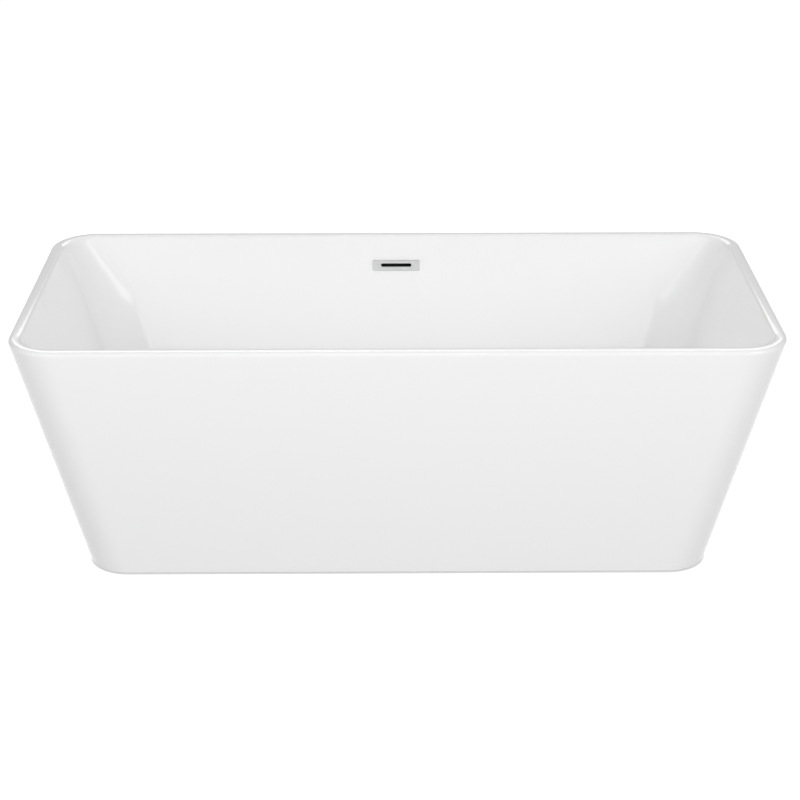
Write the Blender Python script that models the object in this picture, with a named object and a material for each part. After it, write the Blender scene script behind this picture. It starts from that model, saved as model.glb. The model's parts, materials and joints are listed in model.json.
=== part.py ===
"""Freestanding bathtub with straight tapering sides and a slot overflow, as the pieces it is assembled from.

Frame: metres, +Z up. The origin is on the floor, under the middle of the tub. +X runs along the length,
-Y is the front, and the overflow is in the back wall. The feet are screwed fully in and the plug is shut.
"""
import math

import bmesh
import bpy
from mathutils import Matrix, Vector
from mathutils.geometry import interpolate_bezier

# ---- Overall size ----
LENGTH = 1.700              # over the rim
WIDTH = 0.800               # over the rim
HEIGHT = 0.580              # floor to rim
END_TAPER = math.radians(13.4)      # outer end faces, from vertical
SIDE_TAPER = math.radians(7.9)      # outer long faces, from vertical
APRON_LIFT = 0.003          # lower edge of the apron above the floor
FLOOR_HEIGHT = 0.145        # inner floor of the basin above the floor of the room
GAP = 0.0003                # air left between pieces that touch

# ---- Rim and corners ----
RIM_WIDTH = 0.0265
RIM_OUTER_ROUND = 0.008
RIM_INNER_ROUND = 0.006
RIM_LIP = 0.015             # how far the rim turns down over the apron
CORNER_RIM = 0.106          # plan radius of the outer corners at the rim
CORNER_BASE = 0.095         # and at the lower edge

# ---- Basin ----
SHELL_WALL = 0.005
BACKREST_SLOPE = math.radians(25.0)     # end walls, from vertical
SIDE_DRAFT = math.radians(8.0)          # long walls, from vertical
CREASE_DEPTH = 0.125        # depth at which the backrest starts to form an edge with the long wall
CREASE_SOFTNESS = 0.040
CREASE_ROUND = 0.015        # fillet along that edge
CORNER_GROWTH = 0.24        # growth of the corner radius with depth, above that edge
CORNER_REACH_X = 0.045      # what the backrest's curve tends to, along X
CORNER_REACH_Y = 0.300      # and across Y
CORNER_FADE_X = 0.113
CORNER_FADE_Y = 0.200
FLOOR_BLEND = 0.075         # size of the sweep from wall to floor
FLOOR_REACH_X = 0.060       # corners of the flat floor
FLOOR_REACH_Y = 0.170
FLOOR_CREASE_ROUND = 0.050

# ---- Apron ----
APRON_WALL = 0.004
APRON_FLANGE = 0.008        # turned in under the rim
APRON_RETURN = 0.010        # turned in at the lower edge
APRON_EDGE_ROUND = 0.0025

# ---- Drain and plug ----
DRAIN_BORE = 0.020          # radius of the clear throat
DRAIN_WALL = 0.0035
DRAIN_FLANGE_THICKNESS = 0.003
FLANGE_LAND = 0.0055        # flange beyond the plug's cap
RECESS_DEPTH = 0.004        # the flange sits in a shallow dish in the basin floor
RECESS_MARGIN = 0.006
SEAT_DEPTH = 0.007          # conical seat of the plug
SEAT_FLARE = 0.006
UPPER_GASKET = 0.0015
LOWER_GASKET = 0.004
GASKET_BAND = 0.009
BODY_LENGTH = 0.036         # threaded throat under the basin floor's top
CROSS_BAR_WIDTH = 0.004
CROSS_BAR_HEIGHT = 0.006
CARTRIDGE_RADIUS = 0.0065
CARTRIDGE_LENGTH = 0.024
CARTRIDGE_COLLAR = 0.003
STEM_RADIUS = 0.0035
PLUG_LAP = 0.003            # cap beyond the mouth of the seat
PLUG_THICKNESS = 0.0036
PLUG_EDGE = 0.0012          # chamfer of the cap
PLUG_TRAVEL = 0.008         # lift of the click-clack plug
SEAL_THICKNESS = 0.002

# ---- Waste tee and outlet ----
TEE_FLANGE_BAND = 0.012
TEE_FLANGE_THICKNESS = 0.006
TEE_WALL = 0.0037
TEE_BODY = 0.073            # from the flange's underside to where the outlet starts
PORT_DROP = 0.054           # overflow port's axis under the flange
PORT_LENGTH = 0.078         # from the drain's axis
OUTLET_LENGTH = 0.012
TAIL_RADIUS = 0.019
TAIL_WALL = 0.0025
TAIL_CLEARANCE = 0.010      # lower end of the tailpiece above the floor
SLIP_WASHER = 0.004
SLIP_NUT_FLATS = 0.058
SLIP_NUT_HEIGHT = 0.018
SLIP_NUT_LIP = 0.004

# ---- Overflow ----
OVERFLOW_DROP = 0.075       # centre of the cover under the rim
COVER_SIZE = (0.118, 0.028, 0.0057)     # length, height, thickness
COVER_FACE = 0.0015         # metal left in front of the pocket
COVER_EDGE = 0.0010
COVER_LAND = 0.0025         # rim of the pocket
SLOT_SIZE = (0.076, 0.008)
SLOT_RAISE = 0.001          # slot above the middle of the cover
INSERT_FLANGE = 0.002
INSERT_MARGIN = 0.0010      # insert's opening beyond the slot, each side
SLEEVE_WALL = 0.0015
SLEEVE_REACH = 0.003        # into the duct
OVERFLOW_GASKET = 0.002
GASKET_MARGIN = 0.006
OVERFLOW_SCREW_RADIUS = 0.0018
OVERFLOW_SCREW_HEAD = 0.0032
OVERFLOW_SCREW_HEAD_HEIGHT = 0.0016
SCREW_INSET = 0.009         # screw axis from the end of the cover
DUCT_WALL = 0.002
DUCT_EAR = 0.0035           # plate the two screws bite into
DUCT_CLEARANCE = 0.0015     # between the duct and the apron
SUMP_ABOVE_FLOOR = 0.010    # the duct widens below this height over the basin floor
SUMP_HEIGHT = 0.015
SPIGOT_LENGTH = 0.012
HOSE_RADIUS = 0.013
HOSE_WALL = 0.0025
HOSE_LEAD = 0.022           # straight run of the hose at either end
HOSE_DROP_PULL = 0.9        # pull of the bend's handles, as shares of its drop
HOSE_SPAN_PULL = 0.55       # and of its span
CLAMP_WIDTH = 0.009
CLAMP_BAND = 0.0012
CLAMP_SETBACK = 0.005       # from the hose's end to the clamp
CLAMP_BLOCK = 0.003         # half height of the screw block

# ---- Floor board and frame ----
BOARD_THICKNESS = 0.012
BOARD_INSET = 0.012         # from the edge of the flat floor
BOARD_CORNER = 0.060
BOARD_OPENING = 0.062       # radius, round the drain
RAIL_SIZE = 0.025
RAIL_WALL = 0.0015
RAIL_INSET = 0.030          # rail's outer face from the board's edge
CROSS_OFFSET = 0.200        # inner cross tubes from the middle
END_CROSS_INSET = 0.060     # outer cross tubes from the rails' ends
BOARD_SCREW_RADIUS = 0.0025
BOARD_SCREW_BITE = 0.009
BOARD_SCREW_INSET = 0.182   # from the rails' ends
SCREW_HEAD_RATIO = 2.2      # head to shank
SCREW_HEAD_CROWN = 0.8      # top of the head to its widest
SCREW_HEAD_HEIGHT = 0.003
BRACKET_INSET = 0.252       # from the rails' ends
BRACKET_WIDTH = 0.030
BRACKET_THICKNESS = 0.002
BRACKET_LEG = 0.035
BRACKET_SCREW_RADIUS = 0.002
BRACKET_SCREW_BITE = 0.008
BRACKET_TAIL = 0.010

# ---- Levelling feet ----
PAD_RADIUS = 0.025
PAD_HEIGHT = 0.018
PAD_EDGE = 0.004            # thickness of the pad at its rim
PAD_SHOULDER = 0.011        # height where the cone meets the boss
SOCKET_FLOOR = 0.006
SOCKET_MARGIN = 0.0018      # socket's radius beyond the stud's
SOCKET_WALL = 0.0047
STUD_RADIUS = 0.006         # M12
SWIVEL_HEAD = 0.008
STUD_FLATS_BAND = 0.001     # flats beyond the thread
STUD_FLATS_HEIGHT = 0.007
NUT_BAND = 0.0035
NUT_CLEARANCE = 0.0004
WELD_NUT_HEIGHT = 0.010
LOCK_NUT_HEIGHT = 0.007
STUD_HEADROOM = 0.003
FOOT_INSET = 0.035          # corner feet from the rails' ends

# ---- Facets ----
END_STEPS = 1
CORNER_STEPS = 7
SIDE_STEPS = 2
BLEND_ROWS = 4
INNER_ROWS = 6
OUTER_ROWS = 4
APRON_ROWS = 3
ROUND_SEGMENTS = 20
SCREW_SEGMENTS = 10
NUT_SEGMENTS = 12
SLOT_END_STEPS = 6
HOSE_STEPS = 14

# ---- Levels that follow from the sizes above ----
BASIN_DEPTH = HEIGHT - FLOOR_HEIGHT
SHELL_UNDER = FLOOR_HEIGHT - SHELL_WALL
RECESS_TOP = FLOOR_HEIGHT - RECESS_DEPTH
RECESS_UNDER = RECESS_TOP - SHELL_WALL
PLUG_RADIUS = DRAIN_BORE + SEAT_FLARE + PLUG_LAP
DRAIN_FLANGE = PLUG_RADIUS + FLANGE_LAND
RECESS_RADIUS = DRAIN_FLANGE + RECESS_MARGIN
APRON_TOP = HEIGHT - RIM_LIP - GAP
THROAT_RADIUS = DRAIN_BORE + DRAIN_WALL
DRAIN_HOLE = THROAT_RADIUS + 2 * GAP
BOARD_TOP = SHELL_UNDER - GAP
BOARD_UNDER = BOARD_TOP - BOARD_THICKNESS
RAIL_TOP = BOARD_UNDER - GAP
RAIL_UNDER = RAIL_TOP - RAIL_SIZE
TEE_TOP = RECESS_UNDER - LOWER_GASKET - 2 * GAP
TEE_UNDER = TEE_TOP - TEE_FLANGE_THICKNESS - TEE_BODY - OUTLET_LENGTH
PORT_HEIGHT = TEE_TOP - TEE_FLANGE_THICKNESS - PORT_DROP
OVERFLOW_HEIGHT = HEIGHT - OVERFLOW_DROP
SLEEVE_HALF = (SLOT_SIZE[0] / 2 + INSERT_MARGIN + SLEEVE_WALL, SLOT_SIZE[1] / 2 + INSERT_MARGIN + SLEEVE_WALL)
SCREW_X = COVER_SIZE[0] / 2 - SCREW_INSET
SOCKET_RADIUS = STUD_RADIUS + SOCKET_MARGIN
PAD_BOSS = SOCKET_RADIUS + SOCKET_WALL
STUD_FLATS = 2 * (STUD_RADIUS + STUD_FLATS_BAND)
NUT_FLATS = 2 * (STUD_RADIUS + NUT_BAND)


# ---------------------------------------------------------------- scene and materials

def clear_scene():
    for item in list(bpy.data.objects):
        bpy.data.objects.remove(item, do_unlink=True)


def finish_material(name, colour, roughness, metallic=0.0):
    material = bpy.data.materials.new(name)
    material.use_nodes = True
    shader = material.node_tree.nodes["Principled BSDF"]
    shader.inputs["Base Color"].default_value = (*colour, 1.0)
    shader.inputs["Roughness"].default_value = roughness
    shader.inputs["Metallic"].default_value = metallic
    return material


def make_materials():
    return {
        "acrylic": finish_material("acrylic_white", (0.86, 0.86, 0.86), 0.12),
        "chrome": finish_material("chrome", (0.80, 0.80, 0.82), 0.08, 1.0),
        "steel": finish_material("zinc_plated_steel", (0.62, 0.63, 0.65), 0.35, 1.0),
        "rubber": finish_material("black_rubber", (0.03, 0.03, 0.03), 0.70),
        "board": finish_material("plywood", (0.62, 0.47, 0.30), 0.60),
        "frame": finish_material("painted_frame", (0.10, 0.10, 0.11), 0.45),
        "pipe": finish_material("white_pipe_plastic", (0.78, 0.78, 0.76), 0.40),
        "duct": finish_material("black_duct_plastic", (0.04, 0.04, 0.045), 0.45),
        "hose": finish_material("grey_hose_plastic", (0.55, 0.56, 0.57), 0.45),
        "pad": finish_material("black_nylon", (0.05, 0.05, 0.05), 0.50),
    }


# ---------------------------------------------------------------- mesh helpers

def add_object(name, mesh, material=None):
    item = bpy.data.objects.new(name, mesh)
    bpy.context.scene.collection.objects.link(item)
    if material:
        mesh.materials.append(material)
    return item


def mesh_object(name, bm, material=None):
    bmesh.ops.recalc_face_normals(bm, faces=bm.faces)
    mesh = bpy.data.meshes.new(name)
    bm.to_mesh(mesh)
    bm.free()
    mesh.shade_smooth()
    mesh.set_sharp_from_angle(angle=math.radians(30))
    return add_object(name, mesh, material)


def ring_rows(bm, rows):
    """One vertex loop for each row of points, all with the same number of points."""
    return [[bm.verts.new(point) for point in row] for row in rows]


def bridge(bm, lower, upper):
    count = len(lower)
    for k in range(count):
        after = (k + 1) % count
        bm.faces.new((lower[k], lower[after], upper[after], upper[k]))


def hollow_solid(name, rows, material=None):
    """A closed ring-shaped body: each row is bridged to the next, and the last to the first."""
    bm = bmesh.new()
    loops = ring_rows(bm, rows)
    for lower, upper in zip(loops, loops[1:] + loops[:1]):
        bridge(bm, lower, upper)
    return mesh_object(name, bm, material)


def stacked_solid(name, rows, material=None):
    """A body without a bore: rows bridged in turn, with a flat face over the first and the last."""
    bm = bmesh.new()
    loops = ring_rows(bm, rows)
    for lower, upper in zip(loops, loops[1:]):
        bridge(bm, lower, upper)
    bm.faces.new(list(reversed(loops[0])))
    bm.faces.new(loops[-1])
    return mesh_object(name, bm, material)


def turned_solid(name, profile, material=None, segments=ROUND_SEGMENTS):
    """Turned about Z from a chain of (radius, height): a closed ring, or from axis to axis for a solid."""
    bm = bmesh.new()
    chain = [bm.verts.new((radius, 0.0, height)) for radius, height in profile]
    edges = [bm.edges.new(pair) for pair in zip(chain, chain[1:])]
    if profile[0][0] > 0:
        edges.append(bm.edges.new((chain[-1], chain[0])))
    bmesh.ops.spin(bm, geom=chain + edges, cent=(0, 0, 0), axis=(0, 0, 1), angle=math.tau,
                   steps=segments, use_merge=True)
    bmesh.ops.remove_doubles(bm, verts=bm.verts, dist=1e-6)
    return mesh_object(name, bm, material)


def ring_profile(inner, outer, low, high):
    return [(inner, low), (outer, low), (outer, high), (inner, high)]


def rod_profile(radius, low, high):
    return [(0.0, low), (radius, low), (radius, high), (0.0, high)]


def at_height(outline, height):
    return [(x, y, height) for x, y in outline]


def circle_outline(radius, count):
    angles = [math.tau * k / count for k in range(count)]
    return [(radius * math.cos(angle), radius * math.sin(angle)) for angle in angles]


def hexagon_outline(across_flats, count):
    """A hexagon with count points round it, at the same angles as a circle's."""
    points = []
    for k in range(count):
        angle = math.tau * k / count
        from_flat = (angle + math.pi / 6) % (math.pi / 3) - math.pi / 6
        radius = across_flats / 2 / math.cos(math.pi / 6 - abs(from_flat))
        points.append((radius * math.cos(angle), radius * math.sin(angle)))
    return points


def box_object(name, low, high, material=None):
    bm = bmesh.new()
    bmesh.ops.create_cube(bm, size=1.0)
    size = [b - a for a, b in zip(low, high)]
    middle = [(a + b) / 2 for a, b in zip(low, high)]
    bmesh.ops.scale(bm, vec=size, verts=bm.verts)
    bmesh.ops.translate(bm, vec=middle, verts=bm.verts)
    return mesh_object(name, bm, material)


def slab(name, half_x, half_z, y_low, y_high, material=None):
    """A box centred on X and Z, between two places along Y."""
    return box_object(name, (-half_x, y_low, -half_z), (half_x, y_high, half_z), material)


def apply_boolean(target, tool, operation):
    """Cut or join with a hidden guide object."""
    tool.hide_render = True
    tool.display_type = "WIRE"
    modifier = target.modifiers.new(tool.name, "BOOLEAN")
    modifier.operation = operation
    modifier.solver = "EXACT"
    modifier.object = tool


def cut(target, tool):
    apply_boolean(target, tool, "DIFFERENCE")


def weld(target, tool):
    apply_boolean(target, tool, "UNION")


def lay_along_y(item):
    """Turn an object made about Z so that its axis runs along +Y."""
    item.rotation_euler = (-math.pi / 2, 0.0, 0.0)
    return item


# ---------------------------------------------------------------- plan outlines of the tub

def corner_curve(half_x, half_y, reach_x, reach_y, crease):
    """Corner from the end to the long side: an arc tangent to the end, eased into the side by a small one.

    With equal reaches it is a plain quarter circle. Points crowd where the curve turns fastest.
    """
    large = (reach_x ** 2 + reach_y ** 2) / (2 * reach_x)
    centre = (half_x - large, half_y - reach_y)
    ease_offset = math.sqrt(max(0.0, (large - crease) ** 2 - (reach_y - crease) ** 2))
    ease = (centre[0] + ease_offset, half_y - crease)
    turn = math.atan2(ease[1] - centre[1], ease_offset)
    arc_length = large * turn + crease * (math.pi / 2 - turn)
    knee = (large * turn / arc_length + turn / (math.pi / 2)) / 2
    points = []
    for k in range(CORNER_STEPS + 1):
        share = k / CORNER_STEPS
        if share <= knee:
            angle = turn * share / knee
            points.append((centre[0] + large * math.cos(angle), centre[1] + large * math.sin(angle)))
        else:
            angle = turn + (math.pi / 2 - turn) * (share - knee) / (1 - knee)
            points.append((ease[0] + crease * math.cos(angle), ease[1] + crease * math.sin(angle)))
    return points


def tub_outline(half_x, half_y, reach_x, reach_y, crease=CREASE_ROUND):
    """Closed plan outline, anticlockwise from the middle of the +X end, mirrored into all four quarters."""
    corner = corner_curve(half_x, half_y, reach_x, reach_y, crease)
    end_run = [(half_x, corner[0][1] * k / END_STEPS) for k in range(END_STEPS)]
    side_run = [(corner[-1][0] * (1 - k / SIDE_STEPS), half_y) for k in range(1, SIDE_STEPS + 1)]
    quarter = end_run + corner + side_run
    outline = quarter[:-1]
    outline += [(-x, y) for x, y in reversed(quarter)][:-1]
    outline += [(-x, -y) for x, y in quarter][:-1]
    outline += [(x, -y) for x, y in reversed(quarter)][:-1]
    return outline


OUTLINE_POINTS = 4 * (END_STEPS + CORNER_STEPS + SIDE_STEPS)


def soft_excess(depth):
    """How far below the start of the crease a depth is, easing in over CREASE_SOFTNESS."""
    past = depth - CREASE_DEPTH
    return (past + math.sqrt(past ** 2 + CREASE_SOFTNESS ** 2)) / 2


def basin_corner(depth):
    """Reach of the basin's corner along X and Y at a depth below the rim."""
    below = soft_excess(depth) - soft_excess(0.0)
    radius = CORNER_RIM - RIM_WIDTH + CORNER_GROWTH * (depth - below)
    reach_x = CORNER_REACH_X + (radius - CORNER_REACH_X) * math.exp(-below / CORNER_FADE_X)
    reach_y = CORNER_REACH_Y - (CORNER_REACH_Y - radius) * math.exp(-below / CORNER_FADE_Y)
    return reach_x, reach_y


def basin_half(depth, skin=0.0):
    """Half length and half width of the basin's wall, skin outside its inner face."""
    half_x = LENGTH / 2 - RIM_WIDTH - depth * math.tan(BACKREST_SLOPE) + skin / math.cos(BACKREST_SLOPE)
    half_y = WIDTH / 2 - RIM_WIDTH - depth * math.tan(SIDE_DRAFT) + skin / math.cos(SIDE_DRAFT)
    return half_x, half_y


def basin_section(depth, skin=0.0, grow=0.0):
    half_x, half_y = basin_half(depth, skin)
    reach_x, reach_y = basin_corner(depth)
    reach_y = min(reach_y, half_y - FLOOR_CREASE_ROUND)
    spread = skin + grow
    row = tub_outline(half_x + grow, half_y + grow, reach_x + spread, reach_y + spread)
    return at_height(row, HEIGHT - depth)


def floor_half(skin=0.0):
    """Half length and half width of the flat floor inside the blend."""
    half_x, half_y = basin_half(BASIN_DEPTH + skin, skin)
    return half_x - FLOOR_BLEND, half_y - FLOOR_BLEND


def basin_rows(skin, wall_rows):
    """Rows from the flat floor's edge up the blend and the wall; a skin gives the shell's outer face."""
    bottom = BASIN_DEPTH + skin
    half_x, half_y = floor_half(skin)
    flat = tub_outline(half_x, half_y, FLOOR_REACH_X, FLOOR_REACH_Y, FLOOR_CREASE_ROUND)
    edge = [Vector(point) for point in at_height(flat, HEIGHT - bottom)]
    foot = [Vector(point) for point in basin_section(bottom, skin)]
    wall = [Vector(point) for point in basin_section(bottom - FLOOR_BLEND, skin)]
    rows = []
    for k in range(BLEND_ROWS):
        share = k / BLEND_ROWS
        rows.append([e * (1 - share) ** 2 + f * 2 * share * (1 - share) + w * share ** 2
                     for e, f, w in zip(edge, foot, wall)])
    for k in range(wall_rows + 1):
        share = k / wall_rows
        depth = (bottom - FLOOR_BLEND) * (1 - share) + RIM_INNER_ROUND * share
        rows.append(basin_section(depth, skin))
    return rows


def apron_section(height, inset=0.0):
    """Outline of the outer faces at a height, or inside them by inset."""
    drop = HEIGHT - RIM_OUTER_ROUND - height
    half_x = LENGTH / 2 - drop * math.tan(END_TAPER) - inset / math.cos(END_TAPER)
    half_y = WIDTH / 2 - drop * math.tan(SIDE_TAPER) - inset / math.cos(SIDE_TAPER)
    corner = CORNER_RIM + (CORNER_BASE - CORNER_RIM) * drop / HEIGHT - inset
    return at_height(tub_outline(half_x, half_y, corner, corner), height)


def apron_inner_y(height):
    """Inner face of the apron's long sides."""
    drop = HEIGHT - RIM_OUTER_ROUND - height
    return WIDTH / 2 - drop * math.tan(SIDE_TAPER) - APRON_WALL / math.cos(SIDE_TAPER)


# ---------------------------------------------------------------- basin and apron

def overflow_frame():
    """Frame on the back wall at the overflow: X along the tub, +Y into the cavity, +Z up along the wall."""
    wall_y = basin_half(OVERFLOW_DROP)[1]
    return Matrix.Translation((0.0, wall_y, OVERFLOW_HEIGHT)) @ Matrix.Rotation(-SIDE_DRAFT, 4, "X")


def seat_on_back_wall(item):
    item.matrix_world = overflow_frame() @ item.matrix_world
    return item


def slot_prism(name, half_x, half_z, y_low, y_high, material=None):
    """A bar along Y with rounded ends in X, for the slot and what lines it."""
    outline = []
    for side in (1, -1):
        for k in range(SLOT_END_STEPS + 1):
            angle = -math.pi / 2 + math.pi * k / SLOT_END_STEPS
            x = half_x - half_z + half_z * math.cos(angle)
            outline.append((side * x, side * half_z * math.sin(angle)))
    rows = [[(x, y, z) for x, z in outline] for y in (y_low, y_high)]
    return stacked_solid(name, rows, material)


def screw_hole(name, x, y_low, y_high, radius):
    hole = turned_solid(name, rod_profile(radius, y_low, y_high), segments=SCREW_SEGMENTS)
    lay_along_y(hole)
    hole.location.x = x
    return hole


def cut_overflow_screws(target, y_low, y_high):
    """Clearance holes for the two overflow screws through one piece."""
    for side, x in (("left", -SCREW_X), ("right", SCREW_X)):
        hole = screw_hole(f"cut_{target.name}_{side}", x, y_low, y_high, OVERFLOW_SCREW_RADIUS + GAP)
        bpy.context.view_layer.update()
        cut(target, seat_on_back_wall(hole))


def cut_sleeve_way(target, y_low, y_high):
    way = slot_prism(f"cut_{target.name}_sleeve", SLEEVE_HALF[0] + GAP, SLEEVE_HALF[1] + GAP, y_low, y_high)
    way.location.z = SLOT_RAISE
    bpy.context.view_layer.update()
    cut(target, seat_on_back_wall(way))


def make_basin_shell(material):
    """One closed shell: dished drain seat, floor, walls, rim, and the same again on the hidden side."""
    rows = [at_height(circle_outline(DRAIN_HOLE, OUTLINE_POINTS), RECESS_TOP),
            at_height(circle_outline(RECESS_RADIUS, OUTLINE_POINTS), RECESS_TOP),
            at_height(circle_outline(RECESS_RADIUS + RECESS_DEPTH, OUTLINE_POINTS), FLOOR_HEIGHT)]
    rows += basin_rows(0.0, INNER_ROWS)
    for turn in (math.pi / 4, math.pi / 2):
        grow = RIM_INNER_ROUND * (1 - math.cos(turn))
        rows.append(basin_section(RIM_INNER_ROUND * (1 - math.sin(turn)), grow=grow))
    for turn in (math.pi / 2, math.pi / 4, 0.0):
        inset = RIM_OUTER_ROUND * (1 - math.cos(turn))
        level = apron_section(HEIGHT - RIM_OUTER_ROUND, inset)
        rise = RIM_OUTER_ROUND * math.sin(turn)
        rows.append([(x, y, z + rise) for x, y, z in level])
    rows.append(apron_section(HEIGHT - RIM_LIP))
    rows.append(apron_section(HEIGHT - RIM_LIP, SHELL_WALL))
    rows.append(apron_section(HEIGHT - RIM_OUTER_ROUND, SHELL_WALL + GAP))
    rows += list(reversed(basin_rows(SHELL_WALL, OUTER_ROWS)))
    dish = RECESS_RADIUS + SHELL_WALL
    rows += [at_height(circle_outline(dish + RECESS_DEPTH, OUTLINE_POINTS), SHELL_UNDER),
             at_height(circle_outline(dish, OUTLINE_POINTS), RECESS_UNDER),
             at_height(circle_outline(DRAIN_HOLE, OUTLINE_POINTS), RECESS_UNDER)]
    shell = hollow_solid("basin_shell", rows, material)
    cut_sleeve_way(shell, -SHELL_WALL, 2 * SHELL_WALL)
    cut_overflow_screws(shell, -SHELL_WALL, 2 * SHELL_WALL)
    return shell


def make_outer_apron(material):
    """Tapering skirt, turned in at the top for the bond under the rim and at the foot to stay straight."""
    low = APRON_LIFT
    round_45 = APRON_EDGE_ROUND * (1 - math.sqrt(0.5))
    rows = [apron_section(low, APRON_EDGE_ROUND), apron_section(low + round_45, round_45)]
    for k in range(APRON_ROWS + 1):
        share = k / APRON_ROWS
        rows.append(apron_section((low + APRON_EDGE_ROUND) * (1 - share) + APRON_TOP * share))
    rows.append(apron_section(APRON_TOP, APRON_WALL + APRON_FLANGE))
    rows.append(apron_section(APRON_TOP - APRON_WALL, APRON_WALL + APRON_FLANGE))
    for k in range(APRON_ROWS + 1):
        share = k / APRON_ROWS
        height = (APRON_TOP - APRON_WALL) * (1 - share) + (low + APRON_WALL) * share
        rows.append(apron_section(height, APRON_WALL))
    rows.append(apron_section(low + APRON_WALL, APRON_WALL + APRON_RETURN))
    rows.append(apron_section(low, APRON_WALL + APRON_RETURN))
    return hollow_solid("outer_apron", rows, material)


# ---------------------------------------------------------------- floor board and frame

def board_half():
    half_x, half_y = floor_half()
    return half_x - BOARD_INSET, half_y - BOARD_INSET


def rail_y():
    """Middle of the long rails, front and back."""
    return board_half()[1] - RAIL_INSET - RAIL_SIZE / 2


def rail_half_length():
    return board_half()[0] - BOARD_INSET


def board_screw_places():
    reach = rail_half_length() - BOARD_SCREW_INSET
    return {f"{side}_{end}": (x, y)
            for side, y in (("front", -rail_y()), ("back", rail_y()))
            for end, x in (("left", -reach), ("right", reach))}


def bracket_places():
    reach = rail_half_length() - BRACKET_INSET
    return {f"{side}_{end}": (x, y)
            for side, y in (("front", -1), ("back", 1))
            for end, x in (("left", -reach), ("right", reach))}


def foot_places():
    """Four feet near the rails' ends and one either side of the drain, under the inner cross tubes."""
    reach = rail_half_length() - FOOT_INSET
    corners = {f"{side}_{end}": (x, y)
               for side, y in (("front", -rail_y()), ("back", rail_y()))
               for end, x in (("left", -reach), ("right", reach))}
    return {**corners, "mid_left": (-CROSS_OFFSET, 0.0), "mid_right": (CROSS_OFFSET, 0.0)}


def cut_hole(target, name, place, radius, low, high):
    hole = turned_solid(name, rod_profile(radius, low, high), segments=SCREW_SEGMENTS)
    hole.location = (place[0], place[1], 0.0)
    cut(target, hole)


def make_floor_board(material):
    half_x, half_y = board_half()
    outline = tub_outline(half_x, half_y, BOARD_CORNER, BOARD_CORNER)
    opening = circle_outline(BOARD_OPENING, OUTLINE_POINTS)
    rows = [at_height(outline, BOARD_UNDER), at_height(outline, BOARD_TOP),
            at_height(opening, BOARD_TOP), at_height(opening, BOARD_UNDER)]
    board = hollow_solid("floor_board", rows, material)
    for label, place in board_screw_places().items():
        cut_hole(board, f"cut_board_{label}", place, BOARD_SCREW_RADIUS + GAP,
                 BOARD_UNDER - BOARD_THICKNESS, BOARD_UNDER + BOARD_SCREW_BITE + GAP)
    return board


def square_tube(name, half_length, material):
    """Open-ended square tube along X, its top face at RAIL_TOP."""
    middle = RAIL_TOP - RAIL_SIZE / 2
    rows = []
    for half, x in ((RAIL_SIZE / 2, -half_length), (RAIL_SIZE / 2, half_length),
                    (RAIL_SIZE / 2 - RAIL_WALL, half_length), (RAIL_SIZE / 2 - RAIL_WALL, -half_length)):
        rows.append([(x, y * half, middle + z * half) for y, z in ((-1, -1), (1, -1), (1, 1), (-1, 1))])
    return hollow_solid(name, rows, material)


def add_weld_nut(tube, label, place):
    """Weld a threaded nut under a tube and bore it, with the tube's lower wall, for a foot's stud."""
    overlap = RAIL_WALL / 2
    outline = hexagon_outline(NUT_FLATS, NUT_SEGMENTS)
    nut = stacked_solid(f"join_nut_{label}", [at_height(outline, RAIL_UNDER - WELD_NUT_HEIGHT),
                                              at_height(outline, RAIL_UNDER + overlap)])
    nut.location = (place[0], place[1], 0.0)
    weld(tube, nut)
    bore_top = RAIL_UNDER + RAIL_SIZE / 2
    bore = turned_solid(f"cut_nut_{label}", rod_profile(STUD_RADIUS + NUT_CLEARANCE,
                                                        RAIL_UNDER - 2 * WELD_NUT_HEIGHT, bore_top),
                        segments=NUT_SEGMENTS)
    bore.location = nut.location
    cut(tube, bore)


def make_frame_rails(material):
    feet = foot_places()
    for side, y in (("front", -rail_y()), ("back", rail_y())):
        rail = square_tube(f"frame_rail_{side}", rail_half_length(), material)
        rail.location.y = y
        for label, place in board_screw_places().items():
            if label.startswith(side):
                cut_hole(rail, f"cut_rail_{label}", place, BOARD_SCREW_RADIUS + GAP,
                         RAIL_UNDER - RAIL_SIZE, RAIL_TOP + RAIL_SIZE)
        for label, place in bracket_places().items():
            if label.startswith(side):
                cut_hole(rail, f"cut_bracket_{label}", (place[0], y), BRACKET_SCREW_RADIUS + GAP,
                         RAIL_UNDER - RAIL_SIZE, RAIL_UNDER + RAIL_SIZE / 2)
        for label in (f"{side}_left", f"{side}_right"):
            add_weld_nut(rail, label, feet[label])


def make_cross_tubes(material):
    half_length = rail_y() - RAIL_SIZE / 2 - GAP
    outer = rail_half_length() - END_CROSS_INSET - RAIL_SIZE
    feet = foot_places()
    for label, x in (("left", -outer), ("mid_left", -CROSS_OFFSET),
                     ("mid_right", CROSS_OFFSET), ("right", outer)):
        tube = square_tube(f"frame_cross_{label}", half_length, material)
        tube.rotation_euler.z = math.pi / 2
        tube.location.x = x
        if label in feet:
            add_weld_nut(tube, label, feet[label])


def machine_screw(name, material, radius, low, high):
    """Pan-headed screw along Z between two heights, its head outside the lower one."""
    head = radius * SCREW_HEAD_RATIO
    rows = [at_height(circle_outline(head * SCREW_HEAD_CROWN, SCREW_SEGMENTS), low - SCREW_HEAD_HEIGHT),
            at_height(circle_outline(head, SCREW_SEGMENTS), low - SCREW_HEAD_HEIGHT / 2),
            at_height(circle_outline(head, SCREW_SEGMENTS), low),
            at_height(circle_outline(radius, SCREW_SEGMENTS), low),
            at_height(circle_outline(radius, SCREW_SEGMENTS), high)]
    return stacked_solid(name, rows, material)


def make_board_screws(material):
    for label, place in board_screw_places().items():
        screw = machine_screw(f"board_screw_{label}", material, BOARD_SCREW_RADIUS,
                              RAIL_UNDER - GAP, BOARD_UNDER + BOARD_SCREW_BITE)
        screw.location = (place[0], place[1], 0.0)


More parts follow.
